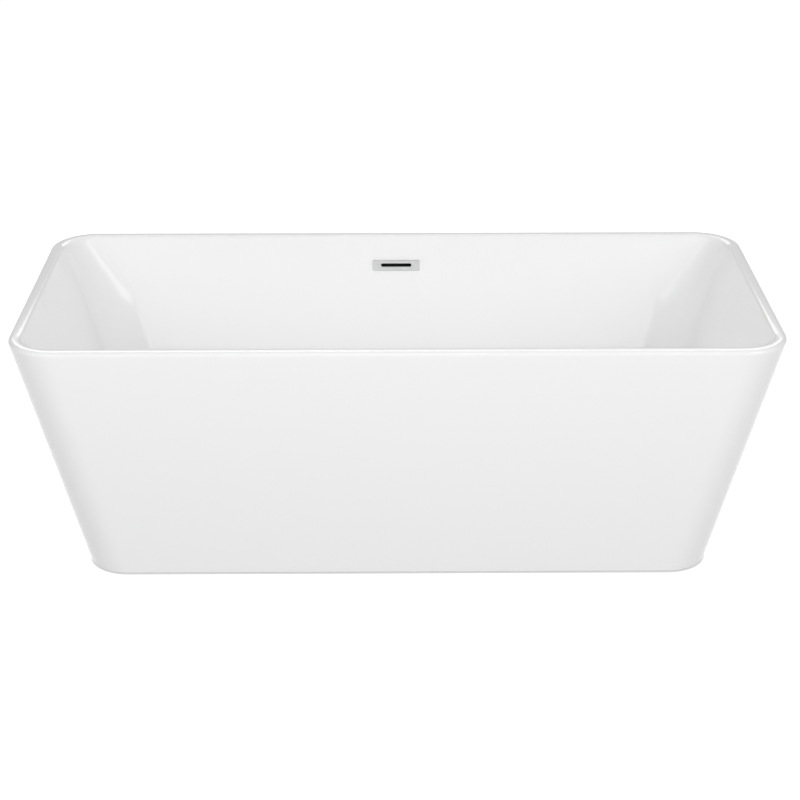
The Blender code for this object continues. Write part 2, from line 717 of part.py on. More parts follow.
def make_brackets(plate_material, screw_material):
    """Bent strips from the rails' undersides out to the apron, and up along its inner face."""
    top = RAIL_UNDER - GAP
    for label, (x, side) in bracket_places().items():
        start = rail_y() - RAIL_SIZE / 2 + BRACKET_TAIL / 2
        slope = math.tan(SIDE_TAPER)
        low = top - BRACKET_THICKNESS
        face = apron_inner_y(low) - GAP
        inner = face - BRACKET_THICKNESS / math.cos(SIDE_TAPER)
        rise = BRACKET_LEG
        profile = [(start, low), (face, low), (face + slope * rise, low + rise),
                   (inner + slope * rise, low + rise), (inner + slope * BRACKET_THICKNESS, top), (start, top)]
        rows = [[(x + end * BRACKET_WIDTH / 2, side * y, z) for y, z in profile] for end in (-1, 1)]
        bracket = stacked_solid(f"apron_bracket_{label}", rows, plate_material)
        place = (x, side * rail_y())
        cut_hole(bracket, f"cut_plate_{label}", place, BRACKET_SCREW_RADIUS + GAP,
                 low - RAIL_SIZE, top + RAIL_SIZE)
        screw = machine_screw(f"bracket_screw_{label}", screw_material, BRACKET_SCREW_RADIUS,
                              low - GAP, RAIL_UNDER + BRACKET_SCREW_BITE)
        screw.location = (place[0], place[1], 0.0)


# ---------------------------------------------------------------- levelling feet

def make_foot(label, place, materials):
    """Pad on the floor, threaded stud turning in the weld nut, and the lock nut under that nut."""
    axis = (place[0], place[1], 0.0)
    pad_profile = [(0.0, 0.0), (PAD_RADIUS, 0.0), (PAD_RADIUS, PAD_EDGE), (PAD_BOSS, PAD_SHOULDER),
                   (PAD_BOSS, PAD_HEIGHT), (SOCKET_RADIUS, PAD_HEIGHT), (SOCKET_RADIUS, SOCKET_FLOOR),
                   (0.0, SOCKET_FLOOR)]
    pad = turned_solid(f"foot_pad_{label}", pad_profile, materials["pad"])
    pad.location = axis

    head = SOCKET_FLOOR + GAP
    flats = PAD_HEIGHT + GAP
    top = RAIL_TOP - RAIL_WALL - STUD_HEADROOM
    sections = [(circle_outline(SOCKET_RADIUS - GAP, NUT_SEGMENTS), head),
                (circle_outline(SOCKET_RADIUS - GAP, NUT_SEGMENTS), head + SWIVEL_HEAD),
                (circle_outline(STUD_RADIUS, NUT_SEGMENTS), head + SWIVEL_HEAD),
                (circle_outline(STUD_RADIUS, NUT_SEGMENTS), flats),
                (hexagon_outline(STUD_FLATS, NUT_SEGMENTS), flats),
                (hexagon_outline(STUD_FLATS, NUT_SEGMENTS), flats + STUD_FLATS_HEIGHT),
                (circle_outline(STUD_RADIUS, NUT_SEGMENTS), flats + STUD_FLATS_HEIGHT),
                (circle_outline(STUD_RADIUS, NUT_SEGMENTS), top)]
    stud = stacked_solid(f"foot_stud_{label}", [at_height(outline, z) for outline, z in sections],
                         materials["steel"])
    stud.location = axis

    nut_top = RAIL_UNDER - WELD_NUT_HEIGHT - GAP
    outer = hexagon_outline(NUT_FLATS, NUT_SEGMENTS)
    bore = circle_outline(STUD_RADIUS + NUT_CLEARANCE, NUT_SEGMENTS)
    nut = hollow_solid(f"foot_lock_nut_{label}",
                       [at_height(outer, nut_top - LOCK_NUT_HEIGHT), at_height(outer, nut_top),
                        at_height(bore, nut_top), at_height(bore, nut_top - LOCK_NUT_HEIGHT)],
                       materials["steel"])
    nut.location = axis


# ---------------------------------------------------------------- drain and plug

def make_drain_body(material):
    """Flange with a conical seat, threaded throat, and a cross bar that carries the click-clack cartridge."""
    flange_under = RECESS_TOP + UPPER_GASKET + 2 * GAP
    flange_top = flange_under + DRAIN_FLANGE_THICKNESS
    low = FLOOR_HEIGHT - BODY_LENGTH
    profile = [(DRAIN_BORE, low), (THROAT_RADIUS, low), (THROAT_RADIUS, flange_under),
               (DRAIN_FLANGE, flange_under), (DRAIN_FLANGE, flange_top - DRAIN_FLANGE_THICKNESS / 3),
               (DRAIN_FLANGE - DRAIN_FLANGE_THICKNESS / 2, flange_top),
               (DRAIN_BORE + SEAT_FLARE, flange_top), (DRAIN_BORE, flange_top - SEAT_DEPTH)]
    body = turned_solid("drain_body", profile, material)
    reach = DRAIN_BORE + DRAIN_WALL / 2
    half = CROSS_BAR_WIDTH / 2
    bar_low = low + CROSS_BAR_WIDTH
    bar_top = bar_low + CROSS_BAR_HEIGHT
    weld(body, box_object("join_cross_x", (-reach, -half, bar_low), (reach, half, bar_top)))
    weld(body, box_object("join_cross_y", (-half, -reach, bar_low), (half, reach, bar_top)))
    hub = turned_solid("join_hub", rod_profile(CARTRIDGE_RADIUS + DRAIN_WALL, bar_low, bar_top))
    weld(body, hub)
    cut(body, turned_solid("cut_hub", rod_profile(CARTRIDGE_RADIUS + GAP, low, bar_top + CROSS_BAR_HEIGHT)))
    return bar_low, bar_top, flange_top


def make_plug(bar_low, bar_top, flange_top, materials):
    """Cartridge fixed in the cross bar; stem, cap and seal lift together along the drain's axis."""
    collar_low = bar_top + GAP
    collar_top = collar_low + CARTRIDGE_COLLAR
    cartridge_top = bar_low + CARTRIDGE_LENGTH
    bore = STEM_RADIUS + GAP
    turned_solid("plug_cartridge", [
        (bore, bar_low), (CARTRIDGE_RADIUS, bar_low), (CARTRIDGE_RADIUS, collar_low),
        (CARTRIDGE_RADIUS + DRAIN_WALL, collar_low), (CARTRIDGE_RADIUS + DRAIN_WALL, collar_top),
        (CARTRIDGE_RADIUS, collar_top), (CARTRIDGE_RADIUS, cartridge_top), (bore, cartridge_top)],
        materials["chrome"], segments=NUT_SEGMENTS)

    cap_under = flange_top + GAP
    cap_top = cap_under + PLUG_THICKNESS
    seal_top = cap_under - GAP
    seal_low = seal_top - SEAL_THICKNESS
    lip_top = seal_low - GAP
    lip_low = lip_top - SEAL_THICKNESS
    boss = DRAIN_BORE - 2 * GAP - SEAL_THICKNESS / 2
    lip = boss + SEAL_THICKNESS / 2
    socket_top = cap_under
    turned_solid("plug_cap", [
        (0.0, socket_top), (bore, socket_top), (bore, lip_low), (lip, lip_low), (lip, lip_top),
        (boss, lip_top), (boss, cap_under), (PLUG_RADIUS, cap_under), (PLUG_RADIUS, cap_top - PLUG_EDGE),
        (PLUG_RADIUS - PLUG_EDGE, cap_top), (0.0, cap_top)],
        materials["chrome"])
    seal_outer = DRAIN_BORE + SEAT_FLARE * (SEAT_DEPTH - (flange_top - seal_low)) / SEAT_DEPTH - 2 * GAP
    turned_solid("plug_seal", ring_profile(boss + GAP, seal_outer, seal_low, seal_top), materials["rubber"])
    stem_top = socket_top - GAP
    turned_solid("plug_stem", rod_profile(STEM_RADIUS, bar_low + CROSS_BAR_WIDTH, stem_top),
                 materials["steel"], segments=SCREW_SEGMENTS)


def make_drain_gaskets(material):
    upper_low = RECESS_TOP + GAP
    turned_solid("drain_gasket_upper",
                 ring_profile(DRAIN_HOLE, DRAIN_FLANGE - GAP, upper_low, upper_low + UPPER_GASKET), material)
    lower_top = RECESS_UNDER - GAP
    turned_solid("drain_gasket_lower",
                 ring_profile(DRAIN_HOLE, DRAIN_HOLE + GASKET_BAND, lower_top - LOWER_GASKET, lower_top),
                 material)


def make_waste_tee(material):
    """Screwed onto the drain body, with a side port for the overflow and a socket for the tailpiece."""
    flange_under = TEE_TOP - TEE_FLANGE_THICKNESS
    barrel = THROAT_RADIUS + GAP + TEE_WALL
    outlet = TAIL_RADIUS + GAP + TEE_WALL
    socket_top = TEE_UNDER + OUTLET_LENGTH
    tee = turned_solid("waste_tee", [
        (0.0, TEE_UNDER), (outlet, TEE_UNDER), (outlet, socket_top), (barrel, socket_top + TEE_WALL),
        (barrel, flange_under), (barrel + TEE_FLANGE_BAND, flange_under), (barrel + TEE_FLANGE_BAND, TEE_TOP),
        (0.0, TEE_TOP)], material)
    port = lay_along_y(turned_solid("join_port", rod_profile(HOSE_RADIUS, 0.0, PORT_LENGTH)))
    port.location.z = PORT_HEIGHT
    weld(tee, port)
    thread_end = FLOOR_HEIGHT - BODY_LENGTH - GAP
    cut(tee, turned_solid("cut_tee_bores", [
        (0.0, TEE_UNDER - TEE_WALL), (TAIL_RADIUS + GAP, TEE_UNDER - TEE_WALL),
        (TAIL_RADIUS + GAP, socket_top), (TAIL_RADIUS - TAIL_WALL, socket_top),
        (DRAIN_BORE, socket_top + 2 * TEE_WALL), (DRAIN_BORE, thread_end),
        (THROAT_RADIUS + GAP, thread_end), (THROAT_RADIUS + GAP, TEE_TOP + TEE_WALL),
        (0.0, TEE_TOP + TEE_WALL)]))
    port_bore = turned_solid("cut_port", rod_profile(HOSE_RADIUS - HOSE_WALL, 0.0, 2 * PORT_LENGTH))
    lay_along_y(port_bore)
    port_bore.location.z = PORT_HEIGHT
    cut(tee, port_bore)


def make_outlet(materials):
    """Tailpiece into the floor's trap, held in the tee by a slip nut over a washer."""
    socket_top = TEE_UNDER + OUTLET_LENGTH - GAP
    turned_solid("tailpiece", ring_profile(TAIL_RADIUS - TAIL_WALL, TAIL_RADIUS, TAIL_CLEARANCE, socket_top),
                 materials["pipe"])
    washer_top = TEE_UNDER - GAP
    washer_low = washer_top - SLIP_WASHER
    turned_solid("slip_washer",
                 ring_profile(TAIL_RADIUS + GAP, TAIL_RADIUS + TEE_WALL, washer_low, washer_top),
                 materials["rubber"])
    low = washer_low - GAP - SLIP_NUT_LIP
    top = low + SLIP_NUT_HEIGHT
    shoulder = low + SLIP_NUT_LIP
    count = 2 * NUT_SEGMENTS
    wide = circle_outline(TAIL_RADIUS + TEE_WALL + 2 * GAP, count)
    narrow = circle_outline(TAIL_RADIUS + 2 * GAP, count)
    outer = hexagon_outline(SLIP_NUT_FLATS, count)
    hollow_solid("slip_nut", [at_height(outer, low), at_height(outer, top), at_height(wide, top),
                              at_height(wide, shoulder), at_height(narrow, shoulder), at_height(narrow, low)],
                 materials["pipe"])


# ---------------------------------------------------------------- overflow

def duct_faces():
    """Inner and outer face of the duct, from the basin wall's inner face, in the overflow's frame."""
    inner = SHELL_WALL + OVERFLOW_GASKET + 2 * GAP
    rooms = []
    for height in (OVERFLOW_HEIGHT + COVER_SIZE[1] / 2, FLOOR_HEIGHT):
        wall_y = basin_half(HEIGHT - height)[1]
        rooms.append((apron_inner_y(height) - wall_y) * math.cos(SIDE_DRAFT))
    return inner, min(rooms) - DUCT_CLEARANCE


def make_overflow_cover(material):
    half_x, half_z, depth = COVER_SIZE[0] / 2, COVER_SIZE[1] / 2, COVER_SIZE[2]
    cover = slab("overflow_cover", half_x, half_z, -depth - GAP, -GAP, material)
    edge = cover.modifiers.new("edges", "BEVEL")
    edge.width = COVER_EDGE
    edge.segments = 2
    pocket_x, pocket_z = half_x - COVER_LAND, half_z - COVER_LAND
    pocket_y = -depth - GAP + COVER_FACE
    pocket = slab("cut_cover_pocket", pocket_x, pocket_z, pocket_y, depth)
    slot = slot_prism("cut_cover_slot", SLOT_SIZE[0] / 2, SLOT_SIZE[1] / 2, -2 * depth, depth)
    slot.location.z = SLOT_RAISE
    bpy.context.view_layer.update()
    cut(cover, seat_on_back_wall(pocket))
    cut(cover, seat_on_back_wall(slot))
    seat_on_back_wall(cover)


def make_overflow_insert(material):
    """Flange behind the cover with a sleeve through the wall, the gasket and the duct's face."""
    margin = COVER_LAND + 2 * GAP
    half_x, half_z = COVER_SIZE[0] / 2 - margin, COVER_SIZE[1] / 2 - margin
    insert = slab("overflow_insert", half_x, half_z, -INSERT_FLANGE - GAP, -GAP, material)
    end = duct_faces()[0] + SLEEVE_REACH
    sleeve = slot_prism("join_sleeve", SLEEVE_HALF[0], SLEEVE_HALF[1], -INSERT_FLANGE / 2, end)
    way = slot_prism("cut_sleeve", SLEEVE_HALF[0] - SLEEVE_WALL, SLEEVE_HALF[1] - SLEEVE_WALL,
                     -2 * INSERT_FLANGE, 2 * end)
    for piece in (sleeve, way):
        piece.location.z = SLOT_RAISE
    bpy.context.view_layer.update()
    weld(insert, seat_on_back_wall(sleeve))
    cut(insert, seat_on_back_wall(way))
    cut_overflow_screws(insert, -2 * INSERT_FLANGE, INSERT_FLANGE)
    seat_on_back_wall(insert)


def make_overflow_gasket(material):
    half_x, half_z = COVER_SIZE[0] / 2 - COVER_LAND, SLEEVE_HALF[1] + GASKET_MARGIN
    low = SHELL_WALL + GAP
    gasket = slab("overflow_gasket", half_x, half_z, low, low + OVERFLOW_GASKET, material)
    cut_sleeve_way(gasket, 0.0, 2 * SHELL_WALL)
    cut_overflow_screws(gasket, 0.0, 2 * SHELL_WALL)
    seat_on_back_wall(gasket)


def make_overflow_screws(material):
    for side, x in (("left", -SCREW_X), ("right", SCREW_X)):
        head_low = -INSERT_FLANGE - 2 * GAP
        end = duct_faces()[0] + DUCT_EAR
        head_end = head_low - OVERFLOW_SCREW_HEAD_HEIGHT
        screw = turned_solid(f"overflow_screw_{side}", [
            (0.0, head_end), (OVERFLOW_SCREW_HEAD, head_end), (OVERFLOW_SCREW_HEAD, head_low),
            (OVERFLOW_SCREW_RADIUS, head_low), (OVERFLOW_SCREW_RADIUS, end), (0.0, end)],
            material, segments=SCREW_SEGMENTS)
        lay_along_y(screw)
        screw.location.x = x
        bpy.context.view_layer.update()
        seat_on_back_wall(screw)


def make_overflow_duct(material):
    """Flat duct down the narrow cavity, widening into a sump with a round spigot under the basin's sweep."""
    inner, outer = duct_faces()
    top = COVER_SIZE[1] / 2
    half_x = SLEEVE_HALF[0] + DUCT_WALL + GAP
    fall = math.cos(SIDE_DRAFT)
    sump_top = (FLOOR_HEIGHT + SUMP_ABOVE_FLOOR - OVERFLOW_HEIGHT) / fall
    sump_low = sump_top - SUMP_HEIGHT
    spigot_y = outer - HOSE_RADIUS - CLAMP_BAND - GAP
    sump_inner = spigot_y - HOSE_RADIUS
    spigot_low = sump_low - SPIGOT_LENGTH
    wall = DUCT_WALL
    duct = box_object("overflow_duct", (-half_x, inner, sump_low), (half_x, outer, top), material)
    ears_x = COVER_SIZE[0] / 2 - COVER_LAND
    ears_z = SLEEVE_HALF[1] + GASKET_MARGIN
    joined = [box_object("join_duct_ears", (-ears_x, inner, -ears_z), (ears_x, inner + DUCT_EAR, ears_z)),
              box_object("join_duct_sump", (-2 * HOSE_RADIUS, sump_inner, sump_low),
                         (2 * HOSE_RADIUS, outer - wall / 2, sump_top)),
              turned_solid("join_duct_spigot", rod_profile(HOSE_RADIUS - GAP, spigot_low, sump_low + wall))]
    joined[2].location.y = spigot_y
    cuts = [box_object("cut_duct_way", (wall - half_x, inner + wall, sump_low + wall),
                       (half_x - wall, outer - wall, top - wall)),
            box_object("cut_duct_sump", (wall - 2 * HOSE_RADIUS, sump_inner + wall, sump_low + wall),
                       (2 * HOSE_RADIUS - wall, outer - wall, sump_top - wall)),
            turned_solid("cut_duct_spigot",
                         rod_profile(HOSE_RADIUS - HOSE_WALL, 2 * spigot_low, sump_low + 2 * wall))]
    cuts[2].location.y = spigot_y
    bpy.context.view_layer.update()
    for piece in joined:
        weld(duct, seat_on_back_wall(piece))
    for piece in cuts:
        cut(duct, seat_on_back_wall(piece))
    cut_sleeve_way(duct, inner - wall, inner + wall + GAP)
    cut_overflow_screws(duct, inner - wall, inner + 2 * DUCT_EAR)
    seat_on_back_wall(duct)
    return Vector((0.0, spigot_y, spigot_low))


def make_overflow_hose(spigot_end, materials):
    """Flexible hose from the duct's spigot down and forward to the tee's port, with a clamp at either end."""
    frame = overflow_frame()
    down = (frame.to_3x3() @ Vector((0.0, 0.0, -1.0))).normalized()
    start = frame @ spigot_end + down * GAP
    finish = Vector((0.0, PORT_LENGTH + GAP, PORT_HEIGHT))
    back = Vector((0.0, 1.0, 0.0))
    bend_start = start + down * HOSE_LEAD
    bend_end = finish + back * HOSE_LEAD
    drop = bend_start.z - bend_end.z
    span = bend_start.y - bend_end.y
    route = [start, start + down * HOSE_LEAD / 2]
    route += interpolate_bezier(bend_start, bend_start + down * drop * HOSE_DROP_PULL,
                                bend_end + back * span * HOSE_SPAN_PULL, bend_end, HOSE_STEPS)
    route += [finish + back * HOSE_LEAD / 2, finish]
    curve = bpy.data.curves.new("overflow_hose", "CURVE")
    curve.dimensions = "3D"
    curve.bevel_depth = HOSE_RADIUS
    curve.bevel_resolution = 4
    curve.use_fill_caps = True
    spline = curve.splines.new("POLY")
    spline.points.add(len(route) - 1)
    for point, place in zip(spline.points, route):
        point.co = (*place, 1.0)
    add_object("overflow_hose", curve, materials["hose"])

    setback = CLAMP_SETBACK + CLAMP_WIDTH / 2
    for label, end, along in (("upper", start, down), ("lower", finish, back)):
        inner = HOSE_RADIUS + 2 * GAP
        clamp = turned_solid(f"hose_clamp_{label}",
                             ring_profile(inner, inner + CLAMP_BAND, -CLAMP_WIDTH / 2, CLAMP_WIDTH / 2),
                             materials["steel"])
        block = box_object(f"join_clamp_{label}", (inner + CLAMP_BAND / 2, -CLAMP_WIDTH / 2, -CLAMP_BLOCK),
                           (inner + 2 * CLAMP_BLOCK, CLAMP_WIDTH / 2, CLAMP_BLOCK))
        for piece in (clamp, block):
            piece.rotation_mode = "QUATERNION"
            piece.rotation_quaternion = along.to_track_quat("Z", "Y")
            piece.location = end + along * setback
        weld(clamp, block)


# ---------------------------------------------------------------- the whole tub

def build():
    clear_scene()
    materials = make_materials()
    make_basin_shell(materials["acrylic"])
    make_outer_apron(materials["acrylic"])
    make_floor_board(materials["board"])
    make_frame_rails(materials["frame"])
    make_cross_tubes(materials["frame"])
    make_board_screws(materials["steel"])
    make_brackets(materials["frame"], materials["steel"])
    for label, place in foot_places().items():
        make_foot(label, place, materials)
    bar_low, bar_top, flange_top = make_drain_body(materials["chrome"])
    make_plug(bar_low, bar_top, flange_top, materials)
    make_drain_gaskets(materials["rubber"])
    make_waste_tee(materials["pipe"])
    make_outlet(materials)
    make_overflow_cover(materials["chrome"])
    make_overflow_insert(materials["duct"])
    make_overflow_gasket(materials["rubber"])
    make_overflow_screws(materials["steel"])
    spigot_end = make_overflow_duct(materials["duct"])
    make_overflow_hose(spigot_end, materials)


build()
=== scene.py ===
"""Looks of the freestanding bathtub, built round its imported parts.

Sizes come from the frame's own boxes where a part gives them, and otherwise from the named sizes below.
"""
import json
import math

import bmesh
import bpy
from mathutils import Matrix, Vector
from mathutils.geometry import interpolate_bezier


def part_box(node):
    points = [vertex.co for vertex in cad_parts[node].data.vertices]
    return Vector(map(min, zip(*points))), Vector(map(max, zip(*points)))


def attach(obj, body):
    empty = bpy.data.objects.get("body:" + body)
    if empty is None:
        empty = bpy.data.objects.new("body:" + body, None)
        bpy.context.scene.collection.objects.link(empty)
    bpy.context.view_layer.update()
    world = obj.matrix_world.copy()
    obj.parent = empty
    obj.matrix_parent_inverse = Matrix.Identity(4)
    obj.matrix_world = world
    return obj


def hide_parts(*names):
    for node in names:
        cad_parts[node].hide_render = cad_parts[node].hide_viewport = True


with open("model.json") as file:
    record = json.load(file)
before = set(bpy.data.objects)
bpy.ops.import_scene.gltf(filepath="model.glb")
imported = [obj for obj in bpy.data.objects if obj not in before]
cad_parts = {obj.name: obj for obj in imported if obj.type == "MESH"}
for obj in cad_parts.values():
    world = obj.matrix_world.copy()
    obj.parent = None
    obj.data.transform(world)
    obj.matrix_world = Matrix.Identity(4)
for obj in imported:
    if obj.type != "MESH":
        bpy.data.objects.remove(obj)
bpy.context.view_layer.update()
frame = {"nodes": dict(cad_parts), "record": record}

# ---- Shape of the acrylic, in metres ----
RIM_WIDTH = 0.0265
RIM_OUTER_ROUND = 0.008
RIM_INNER_ROUND = 0.006
RIM_LIP = 0.015
CORNER_RIM = 0.106
CORNER_BASE = 0.095
END_TAPER = math.radians(13.4)
SIDE_TAPER = math.radians(7.9)
SHELL_WALL = 0.005
APRON_WALL = 0.004
APRON_FLANGE = 0.008
APRON_RETURN = 0.010
APRON_EDGE_ROUND = 0.0025
BACKREST_SLOPE = math.radians(25.0)
SIDE_DRAFT = math.radians(8.0)
CREASE_DEPTH = 0.125
CREASE_SOFTNESS = 0.040
CREASE_ROUND = 0.015
CORNER_GROWTH = 0.24
CORNER_REACH_X = 0.045
CORNER_REACH_Y = 0.300
CORNER_FADE_X = 0.113
CORNER_FADE_Y = 0.200
FLOOR_BLEND = 0.075
FLOOR_REACH_X = 0.060
FLOOR_REACH_Y = 0.170
FLOOR_CREASE_ROUND = 0.050
RECESS_DEPTH = 0.004
RECESS_MARGIN = 0.006
GAP = 0.0003
ON_AXIS = 1e-6                  # a radius under this is a point on the axis

# ---- Drain, plug and waste, in metres ----
DRAIN_BORE = 0.020
DRAIN_WALL = 0.0035
FLANGE_THICKNESS = 0.003
SEAT_DEPTH = 0.007
SEAT_FLARE = 0.006
CROSS_BAR = (0.004, 0.006)      # width, height
CARTRIDGE_RADIUS = 0.0065
COLLAR_HEIGHT = 0.003
STEM_RADIUS = 0.0035
SEAL_THICKNESS = 0.002
CAP_CROWN = 0.0006
CAP_ROLL = 0.0012
CAP_RINGS = 10
TEE_WALL = 0.0037
TEE_COLLAR = 0.006
OUTLET_LENGTH = 0.012
PORT_DROP = 0.054               # port's axis under the tee's collar
TAIL_WALL = 0.0025
NUT_LIP = 0.004
HOLE_INSET = 0.0104             # edge of the hole in the floor, inside the flange

# ---- Overflow, in its own frame on the back wall ----
OVERFLOW_DROP = 0.075
COVER_SIZE = (0.118, 0.028, 0.0057)     # length, height, thickness
COVER_FACE = 0.0015
COVER_LAND = 0.0025
COVER_CORNER = 0.0016
COVER_EDGE = 0.0009
SLOT_SIZE = (0.076, 0.008)
SLOT_RAISE = 0.001
SLEEVE_HALF = (0.0405, 0.0065)
SLEEVE_WALL = 0.0015
SLEEVE_END = 0.0106
INSERT_FLANGE = 0.002
SCREW_X = 0.050
SCREW_HOLE = 0.0021
HOSE_WALL = 0.0025
HOSE_RADIUS = 0.013
HOSE_LEAD = 0.022
HOSE_RIB = 0.0008
HOSE_PITCH = 0.0042
HOSE_PULL = (0.9, 0.55)         # pull of the bend's handles, over its drop and its span
HOSE_STEPS = 14
HOSE_CUFF = 0.8                 # plain end of the hose, over its straight lead
CLAMP_BAND = (0.009, 0.0012)    # width, thickness
CLAMP_BLOCK = 0.003
CLAMP_SETBACK = 0.005
SLOT_STEPS = 8
SLOT_EDGE = 0.0006
EDGE_STEPS = 4
WALL_SCREW = (0.0018, 0.0032, 0.0016, 0.0111)      # shank, head, head height, end

# ---- Feet and fixings ----
PAD_EDGE = 0.004
PAD_SHOULDER = 0.011
PAD_BOSS = 0.0125
SOCKET_RADIUS = 0.0078
SOCKET_FLOOR = 0.006
PAD_RIBS = 28
RIB_THICKNESS = 0.0011
STUD_RADIUS = 0.006
THREAD_PITCH = 0.00175
THREAD_DEPTH = 0.0009
THREAD_FLANK = (0.15, 0.85)     # crest and root, over half a pitch
SWIVEL_HEAD = 0.008
STUD_FLATS = (0.014, 0.007)     # across the flats, height
NUT_CLEARANCE = 0.0004
NUT_CHAMFER = 0.06              # share of the width across the flats
NUT_FACE = 0.2                  # share of the chamfer left round the end face
FLATS_CHAMFER = 0.08            # share of the height of the flats
FLATS_FACE = 0.52               # radius of the end face, over the width across the flats
BOARD_SCREW_RADIUS = 0.0025
BRACKET_SCREW_RADIUS = 0.002
SCREW_HEAD_HEIGHT = 0.003
SCREW_HEAD_RATIO = 2.2
PAN_TOP = 0.7                   # flat top of a pan head, over its radius
PAN_RECESS = 0.55               # arm of its recess, over its radius
CORNERS = ("front_left", "front_right", "back_left", "back_right")
FEET = CORNERS + ("mid_left", "mid_right")

PLAIN_PARTS = ("floor_board", "frame_rail_front", "frame_rail_back", "frame_cross_left",
               "frame_cross_mid_left", "frame_cross_mid_right", "frame_cross_right", "overflow_duct",
               "overflow_gasket", *(f"apron_bracket_{label}" for label in CORNERS))

# ---- Rounding of the small edges, in metres ----
BROKEN_EDGE = 0.0005
RING_ROUND = 0.0003
WALL_SCREW_ROUND = 0.0004
DRAIN_ROUND = 0.0007
LATCH_ROUND = 0.0005
CAP_ROUND = 0.0008
TEE_ROUND = 0.0010
PORT_ROUND = 0.0008
PAD_ROUND = 0.0009
SWIVEL_ROUND = 0.0015
PAN_ROUND = 0.0005
STEM_ROUND = 0.0006

# ---- Camera, floor, light and acrylic ----
CAMERA_PLACE = (-0.028, -4.160, 2.123)
CAMERA_TILT = math.radians(23.74)       # down from level
CAMERA_PAN = math.radians(-0.478)
CAMERA_LENS = 85.66
FLOOR_GLOW = 0.80
# Painted contact shadow on the floor: its lower glow under the tub, and the width over which it fades out
PAINTED_SHADOW_GLOW = 0.32
PAINTED_SHADOW_FADE = 0.004
WORLD_STRENGTH = 0.425
LIGHT_AIM = (0.0, 0.0, 0.3)
SOFTBOXES = (       # name, place, size in metres, power in watts, seen in reflections
    ("key above the camera", (0.0, -5.2, 3.0), (1.2, 1.0), 127.0, False),
    ("wide front fill", (0.0, -5.2, 2.7), (3.0, 1.2), 14.0, True),
    ("front left fill", (-3.6, -3.6, 2.2), (2.4, 2.4), 18.0, True),
    ("front right fill", (3.6, -3.6, 2.2), (2.4, 2.4), 31.0, True),
    ("high back light", (0.0, 3.6, 3.2), (4.0, 2.0), 57.0, True),
)
ACRYLIC_COOL = (0.925, 0.928, 0.930)
ACRYLIC_WARM = (0.935, 0.933, 0.929)
PLY_TURNS = math.tau / 0.0028       # one light and one dark ply every 2.8 mm

# ---- How finely the pieces are drawn ----
SHARP = 35.0                    # degrees between faces that makes an edge sharp
SHELL_SHARP = 50.0              # the same for the acrylic
FINE_TURN = 96                  # points round a turned piece
LATCH_TURN = 64
ROD_TURN = 48
SCREW_TURN = 32
HOSE_SIDES = 40
HOSE_ROWS_PER_RIB = 6.0
THREAD_SIDES = 24
THREAD_ROWS = 8                 # rows in each turn of the thread
TURN_PER_RIB = 3                # points round a pad for each of its ribs
DISH_STEPS = 6
END_STEPS = 16
CORNER_STEPS = 44
SIDE_STEPS = 24
WALL_ROWS = 60
BLEND_ROWS = 18
ROUND_ROWS = 8
OUTLINE_POINTS = 4 * (END_STEPS + CORNER_STEPS + SIDE_STEPS)

# ---- Read from the frame ----
TUB_HALF_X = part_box("basin_shell")[1].x
TUB_HALF_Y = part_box("basin_shell")[1].y
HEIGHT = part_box("basin_shell")[1].z
APRON_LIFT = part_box("outer_apron")[0].z
BOARD_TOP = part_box("floor_board")[1].z
FLOOR_HEIGHT = BOARD_TOP + GAP + SHELL_WALL
BASIN_DEPTH = HEIGHT - FLOOR_HEIGHT
DRAIN_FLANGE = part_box("drain_body")[1].x
DRAIN_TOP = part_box("drain_body")[1].z
THROAT_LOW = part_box("drain_body")[0].z
DRAIN_HOLE = DRAIN_FLANGE - HOLE_INSET


# ---------------------------------------------------------------- material kit

def new_material(name):
    material = bpy.data.materials.new(name)
    material.use_nodes = True
    return material, material.node_tree, material.node_tree.nodes["Principled BSDF"]


def put(tree, kind, links=None, **settings):
    """Add a node, set its properties, and fill or connect its inputs by name or number."""
    node = tree.nodes.new(kind)
    for key, value in settings.items():
        setattr(node, key, value)
    for key, value in (links or {}).items():
        if isinstance(value, bpy.types.NodeSocket):
            tree.links.new(value, node.inputs[key])
        else:
            node.inputs[key].default_value = value
    return node


def calc(tree, operation, *values):
    return put(tree, "ShaderNodeMath", dict(enumerate(values)), operation=operation).outputs[0]


def vector_calc(tree, operation, *values):
    return put(tree, "ShaderNodeVectorMath", dict(enumerate(values)), operation=operation).outputs[0]


def scaled(tree, vector, factor):
    return put(tree, "ShaderNodeVectorMath", {0: vector, "Scale": factor}, operation="SCALE").outputs[0]


def split(tree, vector):
    return put(tree, "ShaderNodeSeparateXYZ", {"Vector": vector}).outputs


def bundle(tree, x, y, z):
    return put(tree, "ShaderNodeCombineXYZ", {"X": x, "Y": y, "Z": z}).outputs["Vector"]


def object_space(tree):
    return put(tree, "ShaderNodeTexCoord").outputs["Object"]


def noise(tree, place, scale, detail=3.0, roughness=0.5):
    return put(tree, "ShaderNodeTexNoise", {"Vector": place, "Scale": scale, "Detail": detail,
                                            "Roughness": roughness}).outputs["Fac"]


def spread(tree, value, low, high):
    """Map a 0 to 1 value onto low to high."""
    return put(tree, "ShaderNodeMapRange", {"Value": value, "To Min": low, "To Max": high}).outputs["Result"]


def two_tone(tree, factor, first, second):
    mix = put(tree, "ShaderNodeMix", {"Factor": factor}, data_type="RGBA")
    mix.inputs["A"].default_value = (*first, 1.0)
    mix.inputs["B"].default_value = (*second, 1.0)
    return mix.outputs["Result"]


def bump(tree, height, strength, distance):
    return put(tree, "ShaderNodeBump", {"Height": height, "Strength": strength,
                                        "Distance": distance}).outputs["Normal"]


def dress(tree, shader, colour, roughness, normal):
    for label, socket in (("Base Color", colour), ("Roughness", roughness), ("Normal", normal)):
        tree.links.new(socket, shader.inputs[label])


def stretched(tree, place, scale):
    mapping = put(tree, "ShaderNodeMapping", {"Vector": place})
    mapping.inputs["Scale"].default_value = scale
    return mapping.outputs["Vector"]


